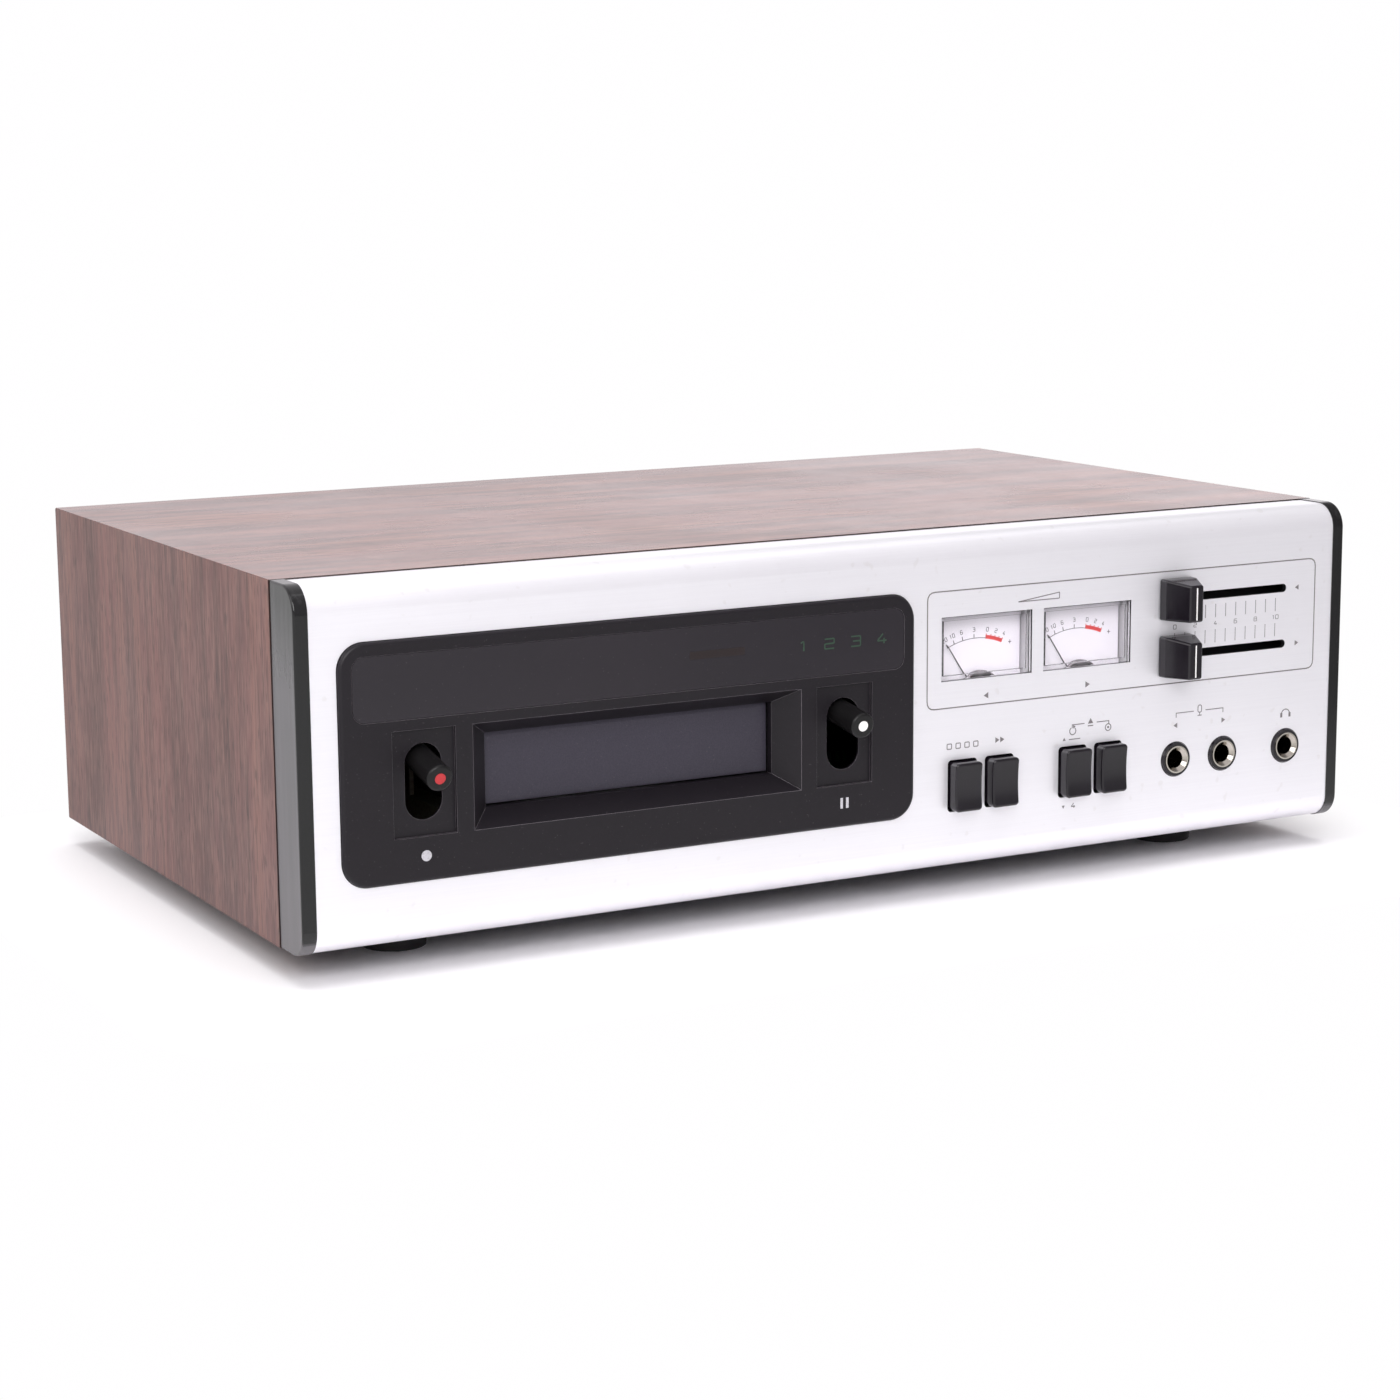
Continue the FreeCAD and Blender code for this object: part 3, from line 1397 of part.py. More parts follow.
def jack(name, x):
    """Quarter-inch jack: a flared bush through both panels on a body that is open behind."""
    height = dim.jack_height_at
    half_w, half_h = dim.jack_body_width / 2, dim.jack_body_height / 2
    bush = rod(f"{name}_bush", dim.ferrule_radius, x, (-dim.ferrule_reach, dim.bush_length), height)
    housing = block(f"{name}_housing", (x - half_w, x + half_w),
                    (sub_panel_rear, dim.jack_body_length), (height - half_h, height + half_h))
    bore = rod(f"{name}_bore", dim.plug_bore_radius, x, (-dim.ferrule_reach, dim.bush_length),
               height)
    mouth = flare(f"{name}_mouth", dim.plug_bore_radius + dim.ferrule_flare, dim.plug_bore_radius,
                  x, (-dim.ferrule_reach, dim.ferrule_flare - dim.ferrule_reach), height)
    tip = rod(f"{name}_tip", dim.jack_tip_radius, x,
              (dim.bush_length, dim.jack_body_length), height)
    keep(cut(f"{name}_cut", fuse(f"{name}_solid", bush, housing), bore, mouth, tip), name)


def jacks():
    places = jack_places()
    for name, x in zip(("left_mic_jack", "right_mic_jack", "phones_jack"), places):
        jack(name, x)
    nuts = []
    for number, x in enumerate(places):
        span = (-dim.ring_nut_thickness, as_size(0))
        disc = flare(f"nut_{number}", dim.ring_nut_radius - dim.ring_nut_slope,
                     dim.ring_nut_radius, x, span, dim.jack_height_at)
        hole = rod(f"nut_hole_{number}", dim.ferrule_radius, x, span, dim.jack_height_at)
        nuts.append(cut(f"nut_ring_{number}", disc, hole))
    keep(fuse("nuts", *nuts), "jack_ring_nuts")


# ---------------------------------------------------------------- rear sockets


def rear_sockets():
    """Four phono sockets on an insulating plate."""
    half = dim.socket_pitch / 2
    reach = half + dim.socket_plate_margin
    x, height = socket_x, dim.socket_height_at
    plate_rear = rear_face + dim.socket_plate_thickness
    plate = block("socket_plate", (x - reach, x + reach), (rear_face, plate_rear),
                  (height - reach, height + reach))
    shells, bores = [], []
    for number in range(4):
        shell_x = x + (half if number % 2 else -half)
        shell_height = height + (half if number < 2 else -half)
        span = (plate_rear, plate_rear + dim.socket_reach)
        shells.append(rod(f"shell_{number}", dim.socket_radius, shell_x, span, shell_height))
        bores.append(rod(f"shell_bore_{number}", dim.socket_bore_radius, shell_x, span,
                         shell_height))
    keep(cut("sockets", fuse("sockets_solid", plate, *shells), *bores), "line_sockets")


def mains_gland():
    """Bush that lines the cord's hole in the rear panel."""
    x, height = gland_x, dim.gland_height_at
    outer = rear_face + dim.gland_flange
    inner = outer - dim.gland_length
    flange = rod("gland_flange_disc", dim.gland_flange_radius, x, (rear_face, outer), height)
    tube = rod("gland_tube", dim.gland_radius, x, (inner, rear_face), height)
    bore = rod("gland_bore", dim.gland_bore_radius, x, (inner, outer), height)
    keep(cut("gland", fuse("gland_solid", flange, tube), bore), "mains_gland")


# ---------------------------------------------------------------- tape transport


def transport_frame():
    """Steel deck between two side plates, with ears for the lever pivots and the head's post."""
    body = new_body("frame")
    x, wall = deck_x, dim.frame_wall
    front, rear = dim.frame_depth_at, dim.frame_depth_at + dim.frame_length
    pad(body, "deck", PLAN, deck_low, dim.deck_plate,
        outline(x - frame_half, x + frame_half, front, rear))
    left, right = x - frame_half, x + frame_half - wall
    for name, plane_x, tip_height, angle in (
        ("left", left, dim.record_tip_height_at, dim.record_tilt),
        ("right", right, dim.pause_tip_height_at, dim.pause_tilt),
    ):
        pad(body, f"{name}_side", SIDE, plane_x, wall, outline(front, rear, plate_top, deck_top))
        depth, height = lever_pivot(tip_height, angle)
        reach = dim.ear_width / 2
        pad(body, f"{name}_ear", SIDE, plane_x, wall,
            outline(depth - reach, depth + reach, deck_low, height + dim.ear_margin))
        pocket(body, f"{name}_pivot_hole", SIDE, plane_x + wall, wall,
               ring(depth, height, dim.pivot_radius))
    pocket(body, "shaft_holes", PLAN, deck_top, dim.deck_plate,
           ring(capstan_x, dim.capstan_depth_at, dim.bearing_radius),
           ring(motor_x, dim.motor_depth_at, dim.pulley_radius))
    collar_top = deck_top + dim.head_collar_height
    pad(body, "head_collar", PLAN, deck_top, dim.head_collar_height,
        ring(head_x, head_post_depth, dim.head_collar_radius))
    pad(body, "head_post", PLAN, collar_top, dim.head_height + 2 * dim.head_lift,
        ring(head_x, head_post_depth, dim.head_post_radius))
    keep(body, "transport_frame")


def capstan():
    """Flywheel with its capstan shaft, and the bearing that carries it."""
    x, depth = capstan_x, dim.capstan_depth_at
    low, high = dim.flywheel_height_at, flywheel_top
    wheel = new_body("wheel", x, depth, 0)
    hub, rim = dim.flywheel_hub_radius, dim.flywheel_radius - dim.flywheel_rim
    pad(wheel, "disc", PLAN, low, dim.flywheel_thickness, ring(0, 0, dim.flywheel_radius))
    pocket(wheel, "upper_recess", PLAN, high, dim.flywheel_recess,
           ring(0, 0, rim), ring(0, 0, hub))
    pocket(wheel, "lower_recess", PLAN, low, dim.flywheel_recess,
           ring(0, 0, rim), ring(0, 0, hub), reverse=True)
    shaft_low = low - dim.capstan_foot
    pad(wheel, "shaft", PLAN, shaft_low, deck_top + dim.capstan_top - shaft_low,
        ring(0, 0, dim.capstan_radius))
    keep(wheel, "flywheel")

    bottom = deck_low - dim.bearing_below
    tube = upright("bearing_tube", dim.bearing_radius, x, depth,
                   (bottom, deck_top + dim.bearing_above))
    flange = upright("bearing_collar", dim.bearing_flange_radius, x, depth,
                     (deck_top, deck_top + dim.bearing_flange))
    bore = upright("bearing_bore", dim.capstan_radius + dim.shaft_gap, x, depth,
                   (bottom, deck_top + dim.bearing_above))
    keep(cut("bearing", fuse("bearing_solid", tube, flange), bore), "capstan_bearing")


def motor():
    """Motor on the deck, with its shaft and pulley below."""
    x, depth = motor_x, dim.motor_depth_at
    can = new_body("motor_can", x, depth, 0)
    pad(can, "can", PLAN, deck_top, dim.motor_height, ring(0, 0, dim.motor_radius))
    top = deck_top + dim.motor_height
    soften(can, "rim", dim.motor_edge, lambda e: lies(e, Z=top))
    pocket(can, "bearing_bore", PLAN, deck_top, dim.motor_shaft_in + dim.sheet_gap,
           ring(0, 0, dim.motor_shaft_radius + dim.shaft_gap), reverse=True)
    keep(can, "motor")
    low, high = dim.flywheel_height_at, flywheel_top
    barrel = upright("pulley_barrel", dim.pulley_radius, x, depth, (low, high))
    shaft = upright("pulley_shaft", dim.motor_shaft_radius, x, depth,
                    (high, deck_top + dim.motor_shaft_in))
    keep(fuse("pulley", barrel, shaft), "motor_pulley")


def belt_loop(near, far, run):
    """Closed wire of a belt round circles of radii near and far, their centres run apart."""
    slope = math.acos((near - far) / run)
    circles = (
        Part.Circle(ORIGIN, FreeCAD.Vector(0, 0, 1), near),
        Part.Circle(FreeCAD.Vector(run, 0, 0), FreeCAD.Vector(0, 0, 1), far),
    )
    wraps = (
        Part.ArcOfCircle(circles[0], slope, 2 * math.pi - slope),
        Part.ArcOfCircle(circles[1], -slope, slope),
    )
    runs = (
        Part.LineSegment(wraps[0].EndPoint, wraps[1].StartPoint),
        Part.LineSegment(wraps[1].EndPoint, wraps[0].StartPoint),
    )
    return Part.Wire([curve.toShape() for curve in (wraps[0], runs[0], wraps[1], runs[1])])


def drive_belt():
    """Flat belt from the pulley to the flywheel's rim, a hair clear of both."""
    sideways = (motor_x - capstan_x).value
    back = (dim.motor_depth_at - dim.capstan_depth_at).value
    run = math.hypot(sideways, back)
    gap, thick = dim.belt_gap.value, dim.belt_thickness.value
    near, far = dim.flywheel_radius.value + gap, dim.pulley_radius.value + gap
    outside = Part.Face(belt_loop(near + thick, far + thick, run))
    inside = Part.Face(belt_loop(near, far, run))
    rise = FreeCAD.Vector(0, 0, dim.belt_width.value)
    belt = doc.addObject("Part::Feature", "belt")
    belt.Shape = outside.extrude(rise).cut(inside.extrude(rise))
    middle = FreeCAD.Vector(capstan_x.value, (face_y + dim.capstan_depth_at).value,
                            (base_z + belt_low).value)
    turn = FreeCAD.Rotation(FreeCAD.Vector(0, 0, 1), math.degrees(math.atan2(back, sideways)))
    belt.Placement = FreeCAD.Placement(middle, turn)
    keep(belt, "drive_belt")


def tape_head():
    """Head block that steps up its post from one programme to the next."""
    body = new_body("head", head_x, head_post_depth, deck_top + dim.head_collar_height)
    half, length = dim.head_width / 2, dim.head_length / 2
    pad(body, "block", PLAN, 0, dim.head_height, outline(-half, half, -length, length))
    pad(body, "nose", PLAN, dim.head_lift, dim.head_height - 2 * dim.head_lift,
        outline(-half / 2, half / 2, -length - dim.head_nose, -length))
    pocket(body, "bore", PLAN, dim.head_height, dim.head_height,
           ring(0, 0, dim.head_post_radius + dim.running_gap))
    keep(body, "tape_head")


# ---------------------------------------------------------------- electronics


def main_board():
    """Circuit board on stand-offs, with its larger components."""
    x, depth = board_x, dim.board_depth_at
    half_w, half_l = dim.board_width / 2, dim.board_length / 2
    low = dim.board_height_at
    top = low + dim.circuit_thickness
    pieces = [block("circuit", (x - half_w, x + half_w), (depth - half_l, depth + half_l),
                    (low, top))]
    inset = dim.stand_off_inset
    for number in range(4):
        post_x = x + (half_w - inset if number % 2 else inset - half_w)
        post_depth = depth + (half_l - inset if number < 2 else inset - half_l)
        pieces.append(upright(f"stand_off_{number}", dim.stand_off_radius, post_x, post_depth,
                              (plate_top, low)))
    for number in range(3):
        place_x = x + (number - 1) * dim.capacitor_pitch
        pieces.append(upright(f"capacitor_{number}", dim.capacitor_radius, place_x,
                              depth + half_l / 2, (top, top + dim.capacitor_height)))
        chip_x = x + (number - 1) * dim.chip_pitch
        pieces.append(block(f"chip_{number}", (chip_x, chip_x + dim.chip_width),
                            (depth - dim.chip_length, depth), (top, top + dim.chip_height)))
    sink_left = x - half_w + inset
    pieces.append(block("heat_sink", (sink_left, sink_left + dim.circuit_thickness),
                        (depth - half_l / 2, depth + half_l / 2),
                        (top, top + dim.heat_sink_height)))
    keep(fuse("board_with_components", *pieces), "main_board")


def transformer():
    """Mains transformer: a laminated core with its coil."""
    x, depth = transformer_x, transformer_depth
    half_w, half_l = dim.transformer_width / 2, dim.transformer_length / 2
    top = plate_top + dim.transformer_height
    core = block("core", (x - half_w, x + half_w), (depth - half_l, depth + half_l),
                 (plate_top, top))
    wall, over = dim.coil_wall, dim.coil_overhang
    coil = block("coil", (x - half_w + wall, x + half_w - wall),
                 (depth - half_l - over, depth + half_l + over), (plate_top + wall, top - wall))
    keep(fuse("core_and_coil", core, coil), "power_transformer")


# ---------------------------------------------------------------- build, check and write


def build():
    sleeve()
    battens()
    feet()
    bottom_plate()
    screws()
    rear_panel()
    rear_sockets()
    mains_gland()
    front_panel()
    end_cap("left_end_cap", -1)
    end_cap("right_end_cap", 1)
    sub_panel()
    deck_bezel()
    header_window()
    lamp_strip()
    cartridge_guide()
    cartridge_door()
    levers()
    for name, x in zip(("left", "right"), meter_places()):
        meter(name, x)
    for name, height in zip(("left", "right"), slider_heights()):
        slider(name, height)
    push_buttons()
    jacks()
    transport_frame()
    capstan()
    motor()
    drive_belt()
    tape_head()
    main_board()
    transformer()
    doc.recompute()


def check():
    for thing in doc.Objects:
        if "Invalid" in thing.State or "Error" in thing.State:
            raise RuntimeError(f"{thing.Name} failed: {thing.State}")
        cuts = ("PartDesign::Pocket", "PartDesign::SubtractiveLoft")
        if thing.TypeId in cuts and thing.Shape.Volume >= thing.BaseFeature.Shape.Volume:
            raise RuntimeError(f"{thing.Name} cuts nothing")
    for thing in PARTS:
        if thing.Shape.isNull() or not thing.Shape.isValid():
            raise RuntimeError(f"{thing.Label} has no valid shape")


def write():
    os.makedirs("parts", exist_ok=True)
    for thing in PARTS:
        thing.Shape.exportStep(f"parts/{thing.Label}.step")
        print(f"{thing.Label}: {len(thing.Shape.Solids)} solid(s), {thing.Shape.Volume:.0f} mm3")
    print(f"{len(PARTS)} parts")


build()
check()
write()
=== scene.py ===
import math

import bpy
from mathutils import Matrix, Vector


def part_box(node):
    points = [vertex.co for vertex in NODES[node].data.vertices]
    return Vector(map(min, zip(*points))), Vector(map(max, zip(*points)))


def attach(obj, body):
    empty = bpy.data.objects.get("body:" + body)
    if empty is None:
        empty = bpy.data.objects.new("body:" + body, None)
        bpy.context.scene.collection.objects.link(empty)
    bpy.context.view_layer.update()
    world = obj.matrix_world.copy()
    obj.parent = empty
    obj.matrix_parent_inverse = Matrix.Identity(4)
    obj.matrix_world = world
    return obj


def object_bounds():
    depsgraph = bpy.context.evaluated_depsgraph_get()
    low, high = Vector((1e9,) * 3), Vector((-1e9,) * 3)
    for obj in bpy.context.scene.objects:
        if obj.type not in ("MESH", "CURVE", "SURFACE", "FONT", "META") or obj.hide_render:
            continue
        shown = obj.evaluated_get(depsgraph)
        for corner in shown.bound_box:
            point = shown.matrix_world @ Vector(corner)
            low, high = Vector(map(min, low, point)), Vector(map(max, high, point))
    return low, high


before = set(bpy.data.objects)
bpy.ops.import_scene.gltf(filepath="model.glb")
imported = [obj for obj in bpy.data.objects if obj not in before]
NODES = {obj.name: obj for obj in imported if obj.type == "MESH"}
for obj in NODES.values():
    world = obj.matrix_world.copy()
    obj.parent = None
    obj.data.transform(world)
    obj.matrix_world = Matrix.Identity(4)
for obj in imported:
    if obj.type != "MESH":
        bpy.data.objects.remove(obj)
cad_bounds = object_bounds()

# Looks of the eight-track record deck.  Places on the deck are in millimetres: right of the
# middle, behind the front panel's face, and above the lower edge of the walnut.

MM = 0.001
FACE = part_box("front_panel")[0].y        # front of the panel
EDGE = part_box("left_side_board")[0].z    # lower edge of the walnut
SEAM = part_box("left_side_board")[0].y    # front edge of the walnut
SIDES = ("left", "right")


def at(x, depth, height):
    """Point in the frame, in metres."""
    return Vector((x * MM, FACE + depth * MM, EDGE + height * MM))


def limits(node):
    """Lowest and highest corner of a CAD node in the deck's own millimetres."""
    low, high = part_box(node)
    origin = at(0, 0, 0)
    return (low - origin) / MM, (high - origin) / MM


def middle(node):
    """Centre of a CAD node in the deck's own millimetres."""
    low, high = limits(node)
    return (low + high) / 2


# ---------------------------------------------------------------- shader nodes


def tone(red, green, blue):
    """Linear colour of a display colour from 0 to 255."""
    def linear(value):
        value /= 255
        return value / 12.92 if value <= 0.04045 else ((value + 0.055) / 1.055) ** 2.4
    return (linear(red), linear(green), linear(blue), 1.0)


class Nodes:
    """A node tree that grows by one call at a time.

    Each call takes plain values or sockets, and most return the socket of their result."""

    def __init__(self, tree):
        self.tree = tree

    def put(self, socket, value):
        """Link a socket to another one, or set its own value."""
        if isinstance(value, bpy.types.NodeSocket):
            self.tree.links.new(value, socket)
        else:
            socket.default_value = value

    def add(self, kind, **settings):
        node = self.tree.nodes.new("ShaderNode" + kind)
        for key, value in settings.items():
            setattr(node, key, value)
        return node

    def math(self, operation, first, second=0.0):
        node = self.add("Math", operation=operation)
        self.put(node.inputs[0], first)
        self.put(node.inputs[1], second)
        return node.outputs[0]

    def plus(self, first, second):
        return self.math("ADD", first, second)

    def minus(self, first, second):
        return self.math("SUBTRACT", first, second)

    def times(self, first, second):
        return self.math("MULTIPLY", first, second)

    def over(self, value, limit):
        """1 where a value is over a limit, and 0 elsewhere."""
        return self.math("GREATER_THAN", value, limit)

    def under(self, value, limit):
        """1 where a value is under a limit, and 0 elsewhere."""
        return self.math("LESS_THAN", value, limit)

    def vector(self, operation, first, second=(0, 0, 0), output=0):
        node = self.add("VectorMath", operation=operation)
        self.put(node.inputs[0], first)
        self.put(node.inputs[1], second)
        return node.outputs[output]

    def parts(self, vector):
        """The three parts of a vector."""
        node = self.add("SeparateXYZ")
        self.put(node.inputs[0], vector)
        return node.outputs

    def span(self, value, low, high, first=0.0, last=1.0):
        """Map a value from one range to another and keep it there."""
        node = self.add("MapRange")
        self.put(node.inputs["Value"], value)
        for name, number in (("From Min", low), ("From Max", high),
                             ("To Min", first), ("To Max", last)):
            self.put(node.inputs[name], number)
        return node.outputs["Result"]

    def mix(self, share, first, second):
        node = self.add("Mix", data_type="RGBA")
        self.put(node.inputs[0], share)
        self.put(node.inputs[6], first)
        self.put(node.inputs[7], second)
        return node.outputs[2]

    def coats(self, ground, *coats):
        """Lay colours over a ground, each with its own share."""
        for share, colour in coats:
            ground = self.mix(share, ground, colour)
        return ground


class Look(Nodes):
    """A material with a shader; its patterns lie in the frame's own metres."""

    def __init__(self, name):
        self.material = bpy.data.materials.new(name)
        self.material.use_nodes = True
        super().__init__(self.material.node_tree)
        self.shader = self.tree.nodes["Principled BSDF"]
        self.place = self.add("TexCoord").outputs["Object"]

    def scaled(self, x, y, z):
        """The place times one number per axis; a small one draws a pattern out along its axis."""
        return self.vector("MULTIPLY", self.place, (x, y, z))

    def part(self, axis):
        return self.parts(self.place)[axis]

    def noise(self, scale, vector=None, detail=3.0, roughness=0.55, distortion=0.0):
        node = self.add("TexNoise")
        self.put(node.inputs["Vector"], vector or self.place)
        node.inputs["Scale"].default_value = scale
        node.inputs["Detail"].default_value = detail
        node.inputs["Roughness"].default_value = roughness
        node.inputs["Distortion"].default_value = distortion
        return node.outputs["Fac"]

    def cells(self, scale, vector=None):
        node = self.add("TexVoronoi")
        self.put(node.inputs["Vector"], vector or self.place)
        node.inputs["Scale"].default_value = scale
        return node.outputs["Distance"]

    def waves(self, scale, axis, vector=None, distortion=0.0, profile="SIN"):
        node = self.add("TexWave", bands_direction=axis, wave_profile=profile)
        self.put(node.inputs["Vector"], vector or self.place)
        node.inputs["Scale"].default_value = scale
        node.inputs["Distortion"].default_value = distortion
        node.inputs["Detail"].default_value = 2.0
        return node.outputs["Fac"]

    def bump(self, height, distance, strength=1.0):
        node = self.add("Bump")
        self.put(node.inputs["Height"], height)
        node.inputs["Distance"].default_value = distance
        node.inputs["Strength"].default_value = strength
        return node.outputs["Normal"]

    def finish(self, **sockets):
        """Set the shader's sockets, by names with _ for a space."""
        for name, value in sockets.items():
            self.put(self.shader.inputs[name.replace("_", " ")], value)
        return self.material

    def cover(self, share, shader):
        """Mix another shader over the material's own one."""
        node = self.add("MixShader")
        self.put(node.inputs[0], share)
        self.put(node.inputs[1], self.shader.outputs[0])
        self.put(node.inputs[2], shader.outputs[0])
        self.put(self.tree.nodes["Material Output"].inputs["Surface"], node.outputs[0])
        return self.material


# ---------------------------------------------------------------- materials

SEAM_SHADE_DEPTH = 0.3 * MM                # painted shade: the walnut is painted near black this far in from its front edge, as shade in the seam beside the end caps
SHADED_WALL_FROM = 0.12 * MM                # painted shade: the walls of the panel's openings are painted black from this far behind its face
SILVER_BAND = 12.5 * MM             # but not this near to its top and its foot
SHEEN_BELOW_TOP = 4 * MM               # the painted reflection on the end caps' side starts this far down from their top
SHEEN_FULL_FROM = 34 * MM               # and is strongest from here down
CAP_FRONT = (0.6 * MM, 1.4 * MM)    # and fades in behind their polished black front ends between these depths
LENS_FRONT = 2.1 * MM               # the meter lenses' right walls are painted pale and milky from this far behind the face, as a painted reflection
LENS_WALL = 3.0 * MM                # and this near to their right side
BOARD_TOP = 17.4 * MM               # the main board has components from this far above its foot
COIL_END = 9 * MM                   # the transformer's coil stands this far out of its iron


def walnut(name, grain_axis, gloss, roughness, figure, pace):
    """Open-pored walnut veneer with its grain along one axis.

    figure is the contrast of the bands; a smaller pace makes the fine streaks longer."""
    look = Look(name)

    def stretched(share):
        return look.scaled(*[share if axis == grain_axis else 1.0 for axis in range(3)])

    broad = look.noise(26, stretched(0.03), detail=1, distortion=0.15)
    bands = look.noise(85, stretched(0.035), detail=2, roughness=0.5, distortion=0.15)
    streak = look.noise(330, stretched(0.06 * pace), detail=3, roughness=0.6)
    hair = look.noise(1500, stretched(0.05 * pace), detail=2)
    pores = look.span(look.noise(950, stretched(0.16 * pace), detail=1), 0.57, 0.68)
    # Painted shade: a thin band along the walnut's front edge is painted near black, standing in
    # for shade in the seam beside the end caps.
    seam_shade = look.under(look.part(1), SEAM + SEAM_SHADE_DEPTH)
    wood = look.mix(look.span(broad, 0.42, 0.58), tone(108, 76, 73), tone(121, 83, 79))
    wood = look.coats(
        wood,
        (look.span(bands, 0.50, 0.62, 0.0, 0.5 * figure), tone(81, 60, 57)),
        (look.span(bands, 0.46, 0.36, 0.0, 0.42 * figure), tone(136, 96, 85)),
        (look.span(streak, 0.48, 0.62, 0.0, 0.5 * figure), tone(70, 54, 53)),
        (look.span(hair, 0.48, 0.62, 0.0, 0.55), tone(140, 106, 97)),
        (look.times(pores, 0.5), tone(54, 42, 42)),
        (look.times(seam_shade, 0.85), tone(16, 13, 13)))
    worn = look.noise(14, detail=3)
    height = look.minus(look.times(hair, 0.3), pores)
    return look.finish(
        Base_Color=wood, Specular_IOR_Level=gloss,
        Roughness=look.span(worn, 0.3, 0.7, roughness - 0.04, roughness + 0.04),
        Normal=look.bump(height, 0.00004, 0.4))


def pine():
    """Plain softwood with growth rings."""
    look = Look("pine")
    rings = look.waves(70, "Z", look.scaled(1, 0.1, 1), distortion=4.0)
    fibre = look.noise(600, look.scaled(1, 0.05, 1))
    wood = look.mix(look.span(rings, 0.1, 0.8), tone(214, 178, 128), tone(188, 146, 96))
    wood = look.coats(wood, (look.span(fibre, 0.4, 0.7, 0.0, 0.4), tone(160, 122, 80)))
    return look.finish(Base_Color=wood, Roughness=0.72, Normal=look.bump(fibre, 0.00008, 0.5))


def satin_panel():
    """Fine satin anodised aluminium, brushed from end to end; the walls of its openings are
    painted black, as painted shade.
    """
    look = Look("silver_panel")
    brushed = look.noise(2600, look.scaled(0.012, 1, 1), detail=2)
    cloud = look.noise(9, detail=3)
    specks = look.span(look.noise(240, detail=1), 0.70, 0.76)
    low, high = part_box("front_panel")
    # Painted shade: the faces behind the front, away from the rolled top and foot, are the walls
    # of the openings. They are painted black and not metallic, standing in for the shade inside
    # them.
    behind = look.over(look.part(1), FACE + SHADED_WALL_FROM)
    between = look.times(look.under(look.part(2), high.z - SILVER_BAND),
                         look.over(look.part(2), low.z + SILVER_BAND))
    edge = look.times(behind, between)
    silver = look.mix(look.span(cloud, 0.3, 0.7), tone(241, 239, 244), tone(244, 242, 247))
    silver = look.coats(
        silver,
        (look.span(brushed, 0.35, 0.65, 0.0, 0.15), tone(228, 225, 231)),
        (look.times(specks, 0.14), tone(196, 188, 182)),
        (edge, tone(26, 26, 28)))
    rough = look.plus(look.span(brushed, 0.3, 0.7, 0.33, 0.36),
                      look.span(cloud, 0.3, 0.7, 0.0, 0.04))
    return look.finish(Base_Color=silver, Metallic=look.span(edge, 0.0, 1.0, 0.57, 0.0),
                       Roughness=rough, Normal=look.bump(brushed, 0.000002, 0.2))


def gloss_plastic(name, colour, haze):
    """Polished black moulding with fine scratches and a little haze."""
    look = Look(name)
    patch = look.noise(60, detail=4, roughness=0.6)
    fine = look.noise(900, look.scaled(1, 1, 0.15), detail=1)
    shade = look.mix(look.span(patch, 0.35, 0.75, 0.0, 0.5), colour, haze)
    rough = look.plus(look.span(patch, 0.3, 0.8, 0.07, 0.13),
                      look.span(fine, 0.62, 0.75, 0.0, 0.05))
    return look.finish(Base_Color=shade, Roughness=rough, Normal=look.bump(fine, 0.000006, 0.3))


def rubbed_plastic():
    """Black end cap, polished at the front and the top. Lower down its side it is painted grey, a
    painted reflection of the bright floor broken up by scuffs.
    """
    look = Look("end_cap_gloss")
    scuff = look.noise(230, look.scaled(1, 1, 0.05), detail=4, roughness=0.7)
    patch = look.noise(40, look.scaled(1, 1, 0.4), detail=4, roughness=0.6)
    low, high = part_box("left_end_cap")
    # Painted reflection: from a little below the top downwards, the side is painted grey as the
    # sheen of the bright floor. Vertical scuffs break it up, and the front end stays black.
    lower = look.span(look.part(2), high.z - SHEEN_BELOW_TOP, high.z - SHEEN_FULL_FROM)
    behind = look.span(look.part(1), low.y + CAP_FRONT[0], low.y + CAP_FRONT[1])
    floor_sheen_and_scuffs = look.plus(look.times(lower, 0.8), look.span(scuff, 0.4, 0.7, -0.12, 0.2))
    floor_sheen_and_scuffs = look.times(look.span(floor_sheen_and_scuffs, 0.0, 1.0), behind)
    shade = look.mix(look.span(patch, 0.35, 0.7, 0.0, 0.6), tone(12, 12, 13), tone(20, 19, 20))
    shade = look.coats(shade, (floor_sheen_and_scuffs, tone(98, 95, 99)))
    rough = look.plus(look.span(floor_sheen_and_scuffs, 0.0, 1.0, 0.12, 0.34),
                      look.span(patch, 0.3, 0.7, 0.0, 0.06))
    return look.finish(Base_Color=shade, Roughness=rough, Normal=look.bump(scuff, 0.000008, 0.4))


def grained_plastic(name, colour, light, roughness=0.5, grain=2400):
    """Moulded plastic with a fine spark-eroded grain, slightly polished where it is handled."""
    look = Look(name)
    pits = look.cells(grain)
    broad = look.noise(22, detail=4)
    dust = look.span(look.noise(1300, detail=1), 0.72, 0.78, 0.0, 0.14)
    shade = look.coats(
        look.mix(look.span(pits, 0.1, 0.7, 0.0, 0.45), colour, light),
        (look.span(broad, 0.35, 0.7, 0.0, 0.25), light),
        (dust, tone(120, 114, 116)))
    rough = look.minus(roughness, look.span(broad, 0.4, 0.7, 0.0, 0.10))
    return look.finish(Base_Color=shade, Roughness=rough, Specular_IOR_Level=0.3,
                       Normal=look.bump(pits, 0.00003, 0.5))


def smoked_window():
    """Almost black acrylic, a little dusty."""
    look = Look("smoked_acrylic")
    sweep = look.noise(7, look.scaled(1, 1, 2), detail=2)
    dust = look.span(look.noise(1300, detail=1), 0.73, 0.78, 0.0, 0.15)
    shade = look.mix(look.span(sweep, 0.3, 0.7), tone(31, 27, 33), tone(40, 35, 41))
    shade = look.coats(shade, (dust, tone(110, 104, 106)))
    return look.finish(Base_Color=shade, Specular_IOR_Level=0.4,
                       Roughness=look.span(sweep, 0.3, 0.7, 0.22, 0.32))


